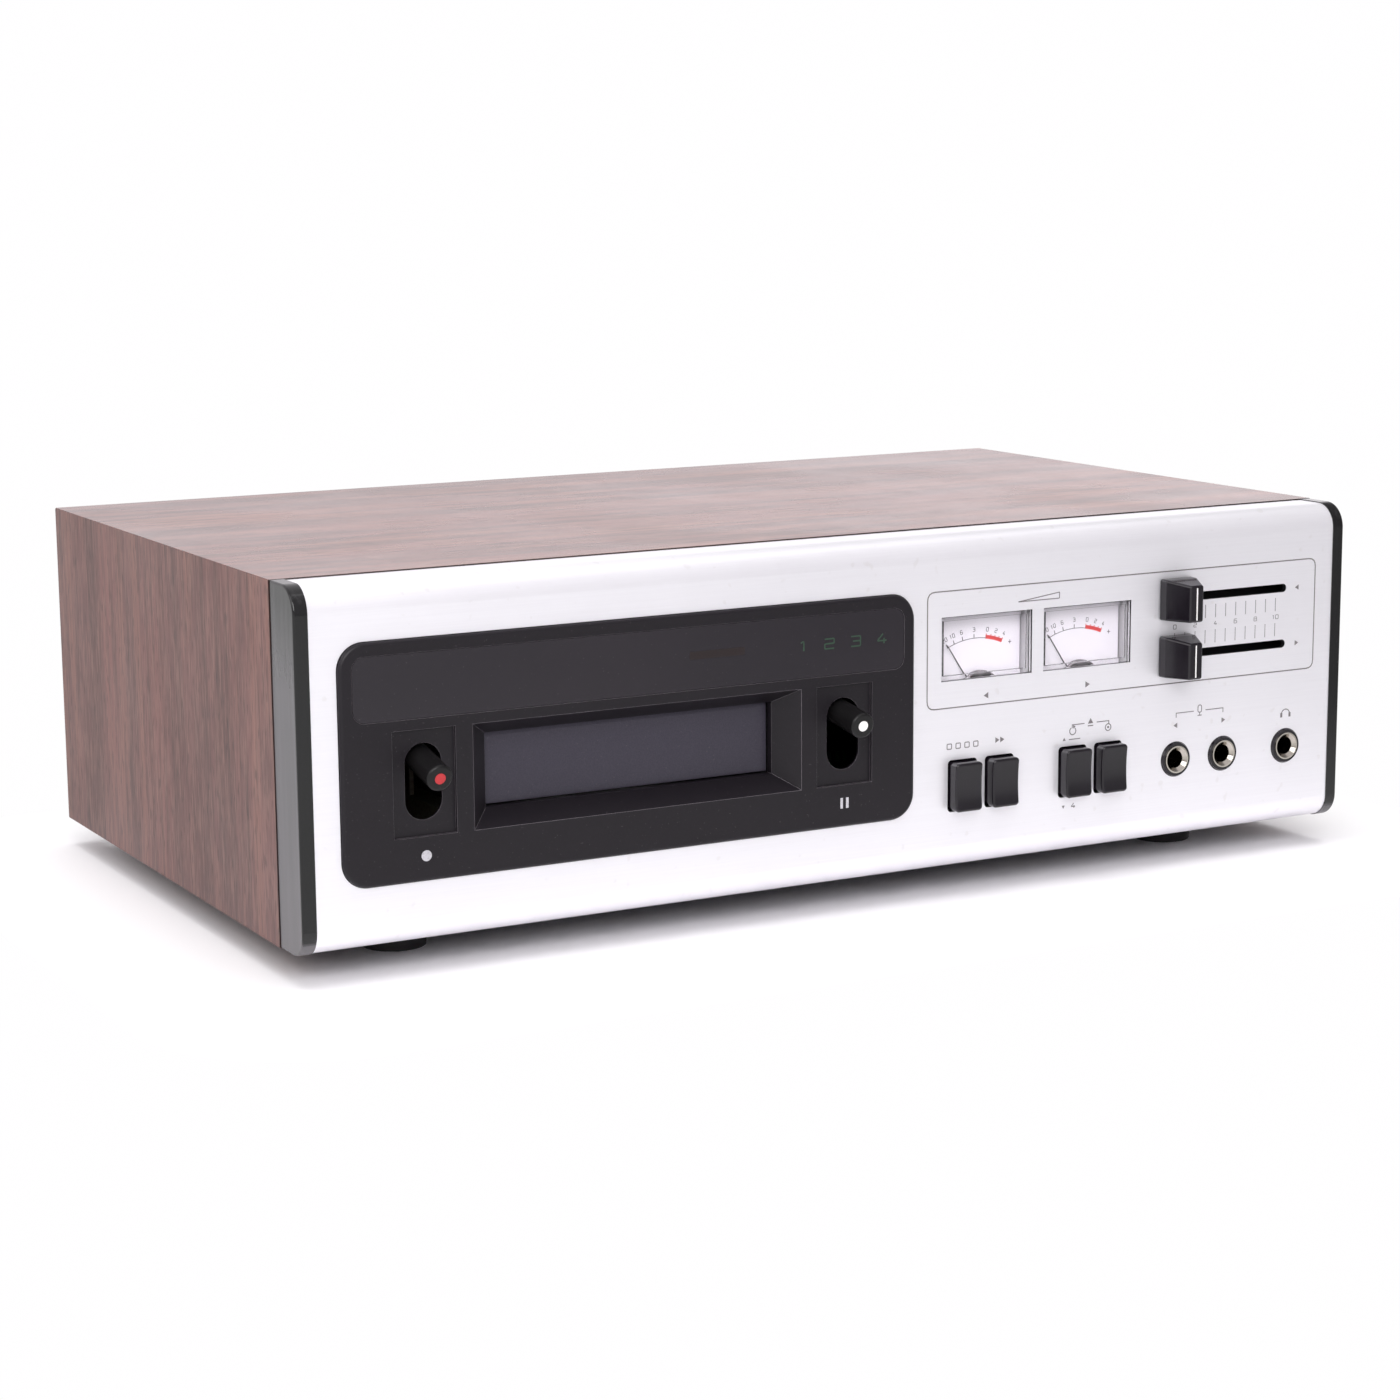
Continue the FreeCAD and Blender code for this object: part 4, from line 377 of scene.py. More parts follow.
def steel(name, light, dark, roughness=0.35, axis=0):
    """Rolled sheet with faint mill lines along one axis and cloudy plating."""
    look = Look(name)
    scale = [1.0, 1.0, 1.0]
    scale[axis] = 0.03
    lines = look.noise(900, look.scaled(*scale), detail=2)
    cloud = look.cells(55)
    shade = look.mix(look.span(lines, 0.35, 0.65, 0.0, 0.6), light, dark)
    shade = look.coats(shade, (look.span(cloud, 0.2, 0.8, 0.0, 0.35), dark))
    rough = look.span(cloud, 0.1, 0.8, roughness - 0.06, roughness + 0.08)
    return look.finish(Base_Color=shade, Metallic=0.9, Roughness=rough,
                       Normal=look.bump(lines, 0.000008, 0.4))


def painted(name, colour, light, roughness=0.5):
    """Stoved paint with orange peel and dust."""
    look = Look(name)
    peel = look.noise(620, detail=2)
    dust = look.noise(35, detail=5, roughness=0.7)
    shade = look.mix(look.span(dust, 0.45, 0.75, 0.0, 0.4), colour, light)
    rough = look.span(peel, 0.3, 0.7, roughness - 0.05, roughness + 0.08)
    return look.finish(Base_Color=shade, Roughness=rough, Normal=look.bump(peel, 0.00002, 0.5))


def turned(name, light, dark, roughness=0.24, pitch=900, axis="Z"):
    """Lathe-turned metal with fine lines across one axis."""
    look = Look(name)
    rings = look.waves(pitch, axis, distortion=1.5)
    stain = look.noise(70, detail=4)
    shade = look.mix(look.span(rings, 0.2, 0.8, 0.0, 0.4), light, dark)
    shade = look.coats(shade, (look.span(stain, 0.5, 0.75, 0.0, 0.5), dark))
    rough = look.span(stain, 0.3, 0.7, roughness - 0.04, roughness + 0.1)
    return look.finish(Base_Color=shade, Metallic=1.0, Roughness=rough,
                       Normal=look.bump(rings, 0.000006, 0.5))


def rubber(name, colour, light):
    """Matt rubber with a pale bloom."""
    look = Look(name)
    grain = look.noise(1500, detail=2)
    bloom = look.noise(90, detail=4)
    shade = look.mix(look.span(bloom, 0.4, 0.75, 0.0, 0.8), colour, light)
    return look.finish(Base_Color=shade, Roughness=look.span(bloom, 0.3, 0.7, 0.68, 0.82),
                       Normal=look.bump(grain, 0.00004, 0.6))


def circuit_board():
    """Solder-masked board with raised tracks, pale pads, and dark components above it."""
    look = Look("circuit_board")
    tracks = look.waves(85, "X", look.scaled(1, 0.5, 0), distortion=9.0, profile="SAW")
    pads = look.cells(170, look.scaled(1, 1, 0))
    green = look.mix(look.span(tracks, 0.45, 0.55, 0.0, 0.8), tone(22, 66, 42), tone(44, 100, 60))
    board = look.coats(green, (look.span(pads, 0.10, 0.16, 1.0, 0.0), tone(190, 188, 176)))
    components = look.mix(look.span(look.noise(70), 0.4, 0.6), tone(34, 34, 38), tone(46, 60, 92))
    above = look.over(look.part(2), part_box("main_board")[0].z + BOARD_TOP)
    return look.finish(Base_Color=look.mix(above, board, components), Roughness=0.38,
                       Normal=look.bump(tracks, 0.00003, 0.5))


def laminated_iron():
    """Transformer: stacked laminations with a wound, taped coil."""
    look = Look("transformer_steel")
    sheets = look.waves(330, "Y", profile="SAW")
    rust = look.noise(50, detail=4)
    low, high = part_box("power_transformer")
    core = look.times(look.over(look.part(1), low.y + COIL_END),
                      look.under(look.part(1), high.y - COIL_END))
    iron = look.mix(look.span(sheets, 0.2, 0.5), tone(70, 66, 64), tone(120, 114, 110))
    iron = look.coats(iron, (look.span(rust, 0.55, 0.75, 0.0, 0.5), tone(116, 84, 62)))
    tape = look.mix(look.waves(110, "Z"), tone(196, 158, 66), tone(222, 190, 104))
    return look.finish(Base_Color=look.mix(core, tape, iron), Roughness=0.5,
                       Normal=look.bump(sheets, 0.00004, 0.6))


def clear_lens():
    """Clear styrene; the right-hand wall is painted pale and milky, a painted reflection on that
    wall.  Shadow rays pass it, so its inside is lit.
    """
    look = Look("clear_lens")
    hair = look.noise(420, look.scaled(1, 1, 0.1), detail=2)
    walls = []
    for side in SIDES:
        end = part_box(f"{side}_meter_lens")[1].x
        walls.append(look.times(look.over(look.part(0), end - LENS_WALL),
                                look.under(look.part(0), end)))
    # Painted reflection: the right-hand walls are pale, rougher and partly opaque, standing in
    # for the light that those walls reflect.
    wall = look.times(look.over(look.part(1), FACE + LENS_FRONT), look.plus(*walls))
    painted_wall_sheen = look.mix(look.span(hair, 0.4, 0.7), tone(214, 211, 216), tone(190, 187, 192))
    rough = look.math("MAXIMUM", look.span(hair, 0.55, 0.8, 0.03, 0.10), look.times(wall, 0.3))
    look.finish(Base_Color=look.mix(wall, (0.98, 0.98, 0.985, 1), painted_wall_sheen), IOR=1.49,
                Transmission_Weight=look.span(wall, 0.0, 1.0, 1.0, 0.35),
                Roughness=rough, Normal=look.bump(hair, 0.000003, 0.2))
    clear = look.add("BsdfTransparent")
    clear.inputs["Color"].default_value = (0.98, 0.98, 0.98, 1)
    return look.cover(look.add("LightPath").outputs["Is Shadow Ray"], clear)


def ink(name, colour, worn, roughness=0.55):
    """Screen-printed ink, thin in places."""
    look = Look(name)
    screen = look.noise(1800, detail=2)
    patch = look.noise(130, detail=3)
    shade = look.mix(look.span(patch, 0.45, 0.75, 0.0, 0.5), colour, worn)
    shade = look.coats(shade, (look.span(screen, 0.5, 0.72, 0.0, 0.5), worn))
    rough = look.span(screen, 0.3, 0.7, roughness - 0.05, roughness + 0.1)
    return look.finish(Base_Color=shade, Roughness=rough)


def meter_case():
    """Black case; the cap over the needle's pivot is polished grey."""
    look = Look("meter_black")
    pits = look.cells(2000)
    ripple = look.noise(180, detail=2)
    cap = look.under(look.part(1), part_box("left_meter_needle")[0].y)
    black = look.mix(look.span(pits, 0.1, 0.7, 0.0, 0.5), tone(26, 26, 28), tone(40, 39, 42))
    metal = look.mix(look.span(ripple, 0.4, 0.6), tone(178, 172, 176), tone(126, 121, 125))
    return look.finish(Base_Color=look.mix(cap, black, metal), Metallic=look.times(cap, 0.85),
                       Roughness=look.span(cap, 0.0, 1.0, 0.5, 0.16),
                       Normal=look.bump(pits, 0.00001, 0.3))


def dial_paper():
    """White printed sheet of the meters."""
    look = Look("dial_white")
    fibre = look.noise(900, detail=3)
    age = look.noise(45, detail=3)
    paper = look.mix(look.span(age, 0.35, 0.7), tone(238, 233, 241), tone(232, 227, 235))
    return look.finish(Base_Color=paper, Roughness=0.6, Normal=look.bump(fibre, 0.00001, 0.3))


LOOKS = {
    "walnut_across": walnut("walnut_across", grain_axis=0, gloss=0.85, roughness=0.27,
                            figure=1.5, pace=0.8),
    "walnut_upright": walnut("walnut_upright", grain_axis=2, gloss=0.2, roughness=0.42,
                             figure=1.0, pace=1.0),
    "pine": pine(),
    "silver_panel": satin_panel(),
    "end_cap": rubbed_plastic(),
    "button": gloss_plastic("button_gloss", tone(19, 15, 21), tone(27, 22, 30)),
    "bezel": grained_plastic("bezel_plastic", tone(21, 17, 22), tone(28, 24, 30), 0.46),
    # Painted highlight: pale bezel plastic for the bezel's bevelled edges, standing in for light
    # caught along its lips.
    "bezel_edge": grained_plastic("bezel_edge", tone(112, 106, 112), tone(134, 128, 134), 0.34),
    "header": smoked_window(),
    "door": grained_plastic("door_plastic", tone(50, 47, 57), tone(66, 62, 74), 0.42, 1900),
    "lever": grained_plastic("lever_plastic", tone(15, 14, 15), tone(23, 22, 23), 0.34, 3200),
    "guide": steel("guide_steel", tone(120, 120, 122), tone(84, 84, 88), 0.42, axis=1),
    "zinc": steel("chassis_steel", tone(186, 184, 180), tone(146, 145, 142), 0.38),
    "black_steel": painted("black_steel", tone(30, 30, 32), tone(50, 48, 48)),
    "screw": painted("screw_steel", tone(34, 34, 36), tone(62, 60, 58), 0.36),
    "rubber": rubber("rubber", tone(30, 29, 30), tone(52, 50, 50)),
    "belt": rubber("belt_rubber", tone(24, 24, 25), tone(40, 39, 39)),
    "lamp_holder": painted("lamp_holder", tone(40, 38, 38), tone(70, 66, 64), 0.6),
    "pin": turned("steel_pin", tone(190, 190, 192), tone(140, 140, 144), axis="X"),
    "red_dot": ink("red_dot", tone(182, 34, 40), tone(156, 28, 35), 0.4),
    "white_dot": ink("white_dot", tone(236, 234, 232), tone(214, 211, 207), 0.4),
    "lens": clear_lens(),
    "meter_black": meter_case(),
    "dial": dial_paper(),
    "needle": painted("needle_black", tone(28, 27, 28), tone(40, 38, 38), 0.45),
    "switch": grained_plastic("switch_plastic", tone(40, 38, 38), tone(58, 55, 54)),
    "nickel": turned("nickel", tone(196, 190, 181), tone(132, 124, 115), 0.12, 1600, "Y"),
    "frame_steel": steel("frame_steel", tone(176, 172, 158), tone(140, 134, 116), 0.36),
    "zinc_cast": turned("flywheel_zinc", tone(190, 190, 192), tone(152, 152, 156), 0.22, 700),
    "bronze": turned("bearing_bronze", tone(188, 138, 78), tone(140, 96, 50), 0.3),
    "motor": steel("motor_steel", tone(168, 168, 170), tone(132, 132, 136), 0.28, axis=2),
    "head": turned("head_metal", tone(206, 206, 210), tone(166, 166, 172), 0.14, 1500),
    "board": circuit_board(),
    "transformer": laminated_iron(),
    "dark_ink": ink("dark_ink", tone(112, 106, 109), tone(142, 137, 139)),
    "line_ink": ink("line_ink", tone(104, 98, 98), tone(132, 126, 126)),
    "pale_ink": ink("pale_ink", tone(196, 194, 200), tone(130, 127, 132)),
    "dial_ink": ink("dial_ink", tone(62, 58, 62), tone(84, 80, 84)),
    "dial_red": ink("dial_red", tone(226, 58, 60), tone(228, 86, 86)),
    "channel_ink": ink("channel_ink", tone(34, 62, 44), tone(30, 48, 38)),
    "lamp_red": ink("lamp_red", tone(25, 9, 11), tone(24, 15, 17)),
}

NODE_LOOKS = {
    "top_board": "walnut_across", "left_side_board": "walnut_upright",
    "right_side_board": "walnut_upright", "sleeve_battens": "pine",
    "rubber_feet": "rubber", "bottom_plate": "guide", "case_screws": "screw",
    "rear_panel": "black_steel", "line_sockets": "nickel", "mains_gland": "rubber",
    "front_panel": "silver_panel", "left_end_cap": "end_cap", "right_end_cap": "end_cap",
    "sub_panel": "black_steel", "deck_bezel": "bezel", "header_window": "header",
    "indicator_lamps": "lamp_holder", "cartridge_guide": "guide", "cartridge_door": "door",
    "door_pin": "pin", "record_lever": "lever", "record_lever_dot": "red_dot",
    "record_pivot": "pin", "pause_lever": "lever", "pause_lever_dot": "white_dot",
    "pause_pivot": "pin", "program_switch_bank": "switch", "eject_switch_bank": "switch",
    "phones_jack": "nickel", "jack_ring_nuts": "button", "transport_frame": "frame_steel",
    "flywheel": "zinc_cast", "capstan_bearing": "bronze", "motor": "motor",
    "motor_pulley": "bronze", "drive_belt": "belt", "tape_head": "head",
    "main_board": "board", "power_transformer": "transformer",
}
for side in SIDES:
    NODE_LOOKS.update({
        f"{side}_meter_lens": "lens", f"{side}_meter_case": "meter_black",
        f"{side}_meter_dial": "dial", f"{side}_meter_needle": "needle",
        f"{side}_slider_knob": "button", f"{side}_slider_tang": "zinc",
        f"{side}_slider_pot": "zinc", f"{side}_mic_jack": "nickel"})
for use in ("program", "fast_forward", "auto_eject", "manual_eject"):
    NODE_LOOKS[f"{use}_button"] = "button"


def dress_nodes():
    """Give every CAD node its finish."""
    for name, node in NODES.items():
        node.data.materials.clear()
        node.data.materials.append(LOOKS[NODE_LOOKS[name]])


def ease_edges(width, *names, worn=None):
    """Break the sharp edges of rigid CAD nodes, so that they catch the light.

    worn is the look of the broken edges, where it isn't the node's own: a pale look that paints
    highlights along them."""
    for name in names:
        weld = NODES[name].modifiers.new("weld", "WELD")
        weld.merge_threshold = 0.002 * MM
        bevel = NODES[name].modifiers.new("edge", "BEVEL")
        bevel.width = width * MM
        bevel.segments = 2
        bevel.limit_method = "ANGLE"
        bevel.angle_limit = math.radians(40)
        bevel.use_clamp_overlap = True
        bevel.harden_normals = True
        if worn:
            NODES[name].data.materials.append(LOOKS[worn])
            bevel.material = 1


# ---------------------------------------------------------------- drawing of printed marks

# Widths of the lines.
HAIR_LINE = 0.22
TICK_LINE = 0.26
SIGN_LINE = 0.34
CURVE_LINE = 0.36
BOX_LINE = 0.42

# Strokes of a sign in a unit square: its path, and whether the path closes.
GLYPHS = {
    "0": [([(0, 0), (1, 0), (1, 1), (0, 1)], True)],
    "1": [([(0.28, 0.8), (0.6, 1), (0.6, 0)], False)],
    "2": [([(0, 0.98), (1, 1), (1, 0.52), (0, 0.5), (0, 0), (1, 0)], False)],
    "3": [([(0, 1), (1, 1), (1, 0), (0, 0)], False), ([(0.2, 0.52), (1, 0.52)], False)],
    "4": [([(0.62, 1), (0, 0.3), (1, 0.3)], False), ([(0.72, 0.56), (0.72, 0)], False)],
    "6": [([(1, 1), (0, 1), (0, 0), (1, 0), (1, 0.54), (0, 0.54)], False)],
    "8": [([(0, 0), (1, 0), (1, 1), (0, 1)], True), ([(0, 0.52), (1, 0.52)], False)],
    "+": [([(0, 0.5), (1, 0.5)], False), ([(0.5, 0), (0.5, 1)], False)],
}


def rounded(points, radius, closed=False):
    """Path whose corners are turned into short arcs."""
    made = []
    count = len(points)
    for n, corner in enumerate(points):
        corner = Vector(corner)
        if not closed and n in (0, count - 1):
            made.append(corner)
            continue
        before = Vector(points[n - 1]) - corner
        after = Vector(points[(n + 1) % count]) - corner
        reach = min(radius, before.length / 2, after.length / 2)
        first = corner + before.normalized() * reach
        last = corner + after.normalized() * reach
        for step in range(5):
            share = step / 4
            made.append(first.lerp(corner, share).lerp(corner.lerp(last, share), share))
    return made


def on_circle(centre, radius, angle):
    """Point on a circle, with the angle in degrees from straight up towards the right."""
    turn = math.radians(angle)
    return centre[0] + radius * math.sin(turn), centre[1] + radius * math.cos(turn)


def arc(centre, radius, first, last, steps=24):
    """Points on a circle from one angle to another."""
    return [on_circle(centre, radius, first + (last - first) * n / steps)
            for n in range(steps + 1)]


def rectangle(left, right, low, high):
    """Corners of an upright rectangle."""
    return [(left, low), (right, low), (right, high), (left, high)]


class Marks:
    """Thin printed marks on a face that looks forward, gathered into one piece.

    Each further stroke of a numeral stands a hair higher, so that no two lie on one level."""

    LIFT, SINK, STROKE_RISE = 0.03, 0.02, 0.008

    def __init__(self, depth):
        self.depth = depth
        self.raised = 0.0
        self.vertices = []
        self.faces = []

    def _layer(self, points):
        """Add points in front and behind; return their first indices."""
        start = len(self.vertices)
        for depth in (self.depth - self.LIFT - self.raised, self.depth + self.SINK):
            self.vertices += [at(x, depth, height) for x, height in points]
        return start, start + len(points)

    def line(self, points, width=SIGN_LINE, closed=False):
        """Ribbon along a path."""
        points = [Vector(point) for point in points]
        count = len(points)
        sides = ([], [])
        for n, point in enumerate(points):
            ahead = points[(n + 1) % count] - point if closed or n < count - 1 else None
            behind = point - points[n - 1] if closed or n else None
            ahead, behind = ahead or behind, behind or ahead
            ahead, behind = ahead.normalized(), behind.normalized()
            across = Vector((-(ahead.y + behind.y), ahead.x + behind.x)).normalized()
            straight = Vector((-ahead.y, ahead.x))
            reach = width / 2 / max(across.dot(straight), 0.4)
            sides[0].append(point + across * reach)
            sides[1].append(point - across * reach)
        left, right = self._layer(sides[0]), self._layer(sides[1])
        for n in range(count if closed else count - 1):
            m = (n + 1) % count
            self.faces += [
                (left[0] + n, left[0] + m, right[0] + m, right[0] + n),
                (left[1] + n, right[1] + n, right[1] + m, left[1] + m),
                (left[0] + n, left[1] + n, left[1] + m, left[0] + m),
                (right[0] + n, right[0] + m, right[1] + m, right[1] + n)]
        if not closed:
            for n, turn in ((0, 1), (count - 1, -1)):
                end = (left[0] + n, right[0] + n, right[1] + n, left[1] + n)
                self.faces.append(end[::turn])
        return self

    def fill(self, points):
        """Solid convex shape."""
        front, rear = self._layer([Vector(point) for point in points])
        count = len(points)
        self.faces.append(tuple(range(front, front + count)))
        self.faces.append(tuple(range(rear + count - 1, rear - 1, -1)))
        for n in range(count):
            m = (n + 1) % count
            self.faces.append((front + n, rear + n, rear + m, front + m))
        return self

    def disc(self, x, height, radius):
        return self.fill(arc((x, height), radius, 360, 0)[:-1])

    def ring(self, x, height, radius):
        return self.line(arc((x, height), radius, 0, 360)[:-1], CURVE_LINE, closed=True)

    def arrow(self, x, height, size, angle):
        """Triangle that points up at 0 degrees and to the right at 90."""
        return self.fill([on_circle((x, height), size, angle + step) for step in (240, 120, 0)])

    def bar(self, left, right, low, high):
        return self.fill(rectangle(left, right, low, high))

    def bracket(self, centre, gap, reach, height, foot):
        """Two angle lines that run from a sign in the middle out and down to both sides."""
        for side in (-1, 1):
            inner, outer = centre + side * gap, centre + side * reach
            self.line([(inner, height), (outer, height), (outer, foot)])
        return self

    def number(self, text, x, height, size, width, wide=0.95, angle=0.0):
        """Squarish numerals, centred: size is a digit's height, wide its width as a share."""
        turn = math.radians(angle)
        pitch = size * (wide + 0.3)
        start = -pitch * (len(text) - 1) / 2
        for place, sign in enumerate(text):
            for n, (path, closed) in enumerate(GLYPHS[sign]):
                self.raised = self.STROKE_RISE * n
                moved = []
                for u, v in path:
                    right = (u - 0.5) * wide * size + start + place * pitch
                    up = (v - 0.5) * size
                    moved.append((x + right * math.cos(turn) + up * math.sin(turn),
                                  height - right * math.sin(turn) + up * math.cos(turn)))
                self.line(rounded(moved, size * 0.14, closed), width, closed)
        self.raised = 0.0
        return self

    def make(self, name, body, slot, look):
        """Turn the marks into an object that rides a body."""
        mesh = bpy.data.meshes.new(name)
        mesh.from_pydata(self.vertices, [], self.faces)
        mesh.validate()
        mesh.materials.append(LOOKS[look])
        thing = bpy.data.objects.new(name, mesh)
        bpy.context.scene.collection.objects.link(thing)
        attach(thing, body)


# ---------------------------------------------------------------- printed marks of the deck

PANEL_FACE = 0.0
BEZEL_FACE = limits("deck_bezel")[0].y
WINDOW_FACE = limits("header_window")[0].y
DIAL_FACE = limits("left_meter_dial")[0].y
POINTING = (("left", -90), ("right", 90))    # each side with the angle of its arrow

LEVEL_BOX = rectangle(24.1, 190.3, 57.0, 97.2)
LEVEL_BOX_CORNER = 3.0

SLIDER_ZERO = middle("left_slider_knob").x
SLIDER_STEP = 4.475
SLIDER_NUMERALS = 77.1
SLIDER_TICKS = ((79.2, 84.0), (70.1, 74.9))
SLIDER_ARROWS = 182.3

METER_ARROWS = 60.0
METER_SCALE = (("20", -25.2), ("10", -18.9), ("6", -11.4), ("3", -1.6), ("0", 9.0),
               ("2", 16.0), ("4", 22.6))
SCALE_RADIUS = 27.1
SCALE_CENTRE = 51.8
RED_END = 22.9

BUTTON_SIGNS = 44.0
BELOW_BUTTON = 17.4
PHONES_SIGN = 40.9
CHANNEL_SIGNS = 83.5
CHANNEL_FIRST = -25.4
CHANNEL_STEP = 10.2
LAMP_BAR = rectangle(-67.7, -47.3, 82.6, 85.2)
LEVER_SIGNS = 29.0


def level_box():
    """Fine line round the meters and sliders."""
    path = rounded(LEVEL_BOX, LEVEL_BOX_CORNER, closed=True)
    marks = Marks(PANEL_FACE).line(path, BOX_LINE, closed=True)
    marks.make("level_box_line", "deck", "silver_panel", "line_ink")


def slider_scale():
    """Ticks above and below a row of numerals, between the sliders' slots."""
    marks = Marks(PANEL_FACE)
    for step in range(11):
        x = SLIDER_ZERO + step * SLIDER_STEP
        if step % 2 == 0:
            marks.number(str(step), x, SLIDER_NUMERALS, size=1.45, width=HAIR_LINE, wide=0.85)
        for low, high in SLIDER_TICKS:
            marks.line([(x, low), (x, high)], TICK_LINE)
    for side, angle in POINTING:
        height = middle(f"{side}_slider_knob").z - 0.2
        marks.arrow(SLIDER_ARROWS, height, size=1.1, angle=angle)
    marks.make("slider_scale", "deck", "silver_panel", "dark_ink")


def meter_marks():
    """Signs around the meters: a level wedge above and an arrow under each."""
    tip, foot, top = (61, 91.3), (78, 91.3), (78, 93.4)
    marks = Marks(PANEL_FACE)
    marks.line(rounded([tip, foot, top], radius=0.3)).line([tip, top])
    for side, angle in POINTING:
        marks.arrow(middle(f"{side}_meter_lens").x, METER_ARROWS, size=1.25, angle=angle)
    marks.make("meter_marks", "deck", "silver_panel", "dark_ink")


def four_squares(marks, centre):
    """Four programmes to choose from."""
    for step in (-1.5, -0.5, 0.5, 1.5):
        x = centre + step * 3.6
        square = rectangle(x - 0.9, x + 0.9, BUTTON_SIGNS - 1.3, BUTTON_SIGNS + 0.5)
        marks.line(rounded(square, radius=0.3, closed=True), closed=True)


def round_arrow(marks, centre):
    """Automatic eject: a turning arrow, and which programme it waits for."""
    marks.line(arc((centre, BUTTON_SIGNS), radius=1.3, first=40, last=330), CURVE_LINE)
    marks.arrow(centre + 0.5, BUTTON_SIGNS + 1.5, size=0.75, angle=80)
    marks.arrow(centre - 3.6, BUTTON_SIGNS - 2.8, size=0.75, angle=0)
    marks.line([(centre - 1.6, BUTTON_SIGNS - 2.9), (centre + 3.2, BUTTON_SIGNS - 2.9)])
    marks.arrow(centre - 3.6, BELOW_BUTTON, size=0.75, angle=180)
    marks.number("4", centre + 0.6, BELOW_BUTTON, size=1.7, width=SIGN_LINE)


def eject_sign(marks, centre):
    """Triangle over a bar, with a bracket to both eject buttons."""
    marks.arrow(centre, BUTTON_SIGNS + 2.6, size=1.3, angle=0)
    marks.bar(centre - 1.15, centre + 1.15, BUTTON_SIGNS + 1.0, BUTTON_SIGNS + 1.4)
    marks.bracket(centre, gap=2.6, reach=7.8, height=BUTTON_SIGNS + 2.2, foot=BUTTON_SIGNS + 1.0)


def button_marks():
    """Pictograms over the push buttons."""
    marks = Marks(PANEL_FACE)
    forward = middle("fast_forward_button").x
    automatic, manual = middle("auto_eject_button").x, middle("manual_eject_button").x
    four_squares(marks, middle("program_button").x)
    for shift in (-1.1, 0.9):
        marks.arrow(forward + shift, BUTTON_SIGNS, size=1.15, angle=90)
    round_arrow(marks, automatic)
    marks.ring(manual, BUTTON_SIGNS - 0.1, radius=1.2)
    marks.disc(manual, BUTTON_SIGNS - 0.1, radius=0.42)
    eject_sign(marks, (automatic + manual) / 2)
    marks.make("button_marks", "deck", "silver_panel", "dark_ink")


def microphone(marks, centre):
    """Capsule on a stand."""
    capsule = rectangle(centre - 0.8, centre + 0.8, 45.4, 48.0)
    marks.line(rounded(capsule, radius=0.75, closed=True), closed=True)
    marks.line([(centre, 45.4), (centre, 44.3)])
    marks.line([(centre - 0.9, 44.3), (centre + 0.9, 44.3)])


def headphones(marks, centre):
    """Headband with two ear pads."""
    radius = 1.9
    marks.line(arc((centre, PHONES_SIGN), radius, first=-82, last=82), CURVE_LINE)
    for x in (centre - radius, centre + radius):
        marks.bar(x - 0.45, x + 0.45, PHONES_SIGN - 1.0, PHONES_SIGN + 0.6)


def jack_marks():
    """Microphone, headphone and side signs over the jacks."""
    marks = Marks(PANEL_FACE)
    left, right = middle("left_mic_jack").x, middle("right_mic_jack").x
    centre = (left + right) / 2
    microphone(marks, centre)
    marks.bracket(centre, gap=2.6, reach=right - centre, height=46.0, foot=44.4)
    for side, angle in POINTING:
        marks.arrow(middle(f"{side}_mic_jack").x, 41.6, size=1.1, angle=angle)
    headphones(marks, middle("phones_jack").x)
    marks.make("jack_marks", "deck", "silver_panel", "dark_ink")


def bezel_marks():
    """Record and pause signs under their levers."""
    pause = middle("pause_lever_dot").x
    marks = Marks(BEZEL_FACE).disc(middle("record_lever_dot").x, LEVER_SIGNS, radius=1.75)
    for x in (pause - 1.1, pause + 1.1):
        marks.bar(x - 0.5, x + 0.5, LEVER_SIGNS - 1.8, LEVER_SIGNS + 1.8)
    marks.make("lever_marks", "deck", "bezel_plastic", "pale_ink")


def header_marks():
    """Channel numbers and the unlit record bar, as dim as they show through the smoked window."""
    channels = Marks(WINDOW_FACE)
    for step in range(4):
        x = CHANNEL_FIRST + CHANNEL_STEP * step
        channels.number(str(step + 1), x, CHANNEL_SIGNS, size=3.3, width=0.5, wide=1.1)
    channels.make("channel_numbers", "deck", "smoked_acrylic", "channel_ink")
    bar = Marks(WINDOW_FACE).fill(rounded(LAMP_BAR, radius=0.6, closed=True))
    bar.make("record_lamp_bar", "deck", "smoked_acrylic", "lamp_red")


def meter_dial(side):
    """Arc, ticks, numerals and red zone of one level meter."""
    centre = (middle(f"{side}_meter_lens").x, SCALE_CENTRE)

    def point(rise, angle):
        return on_circle(centre, SCALE_RADIUS + rise, angle)

    angles = dict(METER_SCALE)
    zero = angles["0"]
    black = Marks(DIAL_FACE)
    black.line(arc(centre, SCALE_RADIUS, angles["20"] - 0.3, zero), HAIR_LINE)
    for text, angle in METER_SCALE:
        black.number(text, *point(3.0, angle), size=1.35, width=0.2, wide=0.62, angle=angle)
        if angle < zero:
            black.line([point(0.0, angle), point(1.4, angle)], width=0.3)
    black.number("+", *point(1.3, 29.5), size=1.4, width=0.24)
    black.make(f"{side}_dial_scale", "deck", "needle_black", "dial_ink")
    red = Marks(DIAL_FACE)
    red.line(arc(centre, SCALE_RADIUS + 0.4, zero - 0.7, RED_END), width=1.3)
    for angle in (zero - 0.4, 12.6, angles["2"], 19.6, angles["4"]):
        red.line([point(0.2, angle), point(1.5, angle)])
    red.make(f"{side}_dial_red", "deck", "red_dot", "dial_red")


def knob_line(side):
    """White pointer line down the middle of a slider's knob."""
    low, high = limits(f"{side}_slider_knob")
    x, height = (low.x + high.x) / 2, (low.z + high.z) / 2
    marks = Marks(low.y).bar(x - 0.27, x + 0.27, height - 6.3, height + 5.1)
    marks.make(f"{side}_knob_line", f"{side}_slider", "white_dot", "white_dot")


def printed_marks():
    """Every printed piece of the deck."""
    level_box()
    slider_scale()
    meter_marks()
    button_marks()
    jack_marks()
    bezel_marks()
    header_marks()
    for side in SIDES:
        meter_dial(side)
        knob_line(side)


# ---------------------------------------------------------------- stage, light and camera

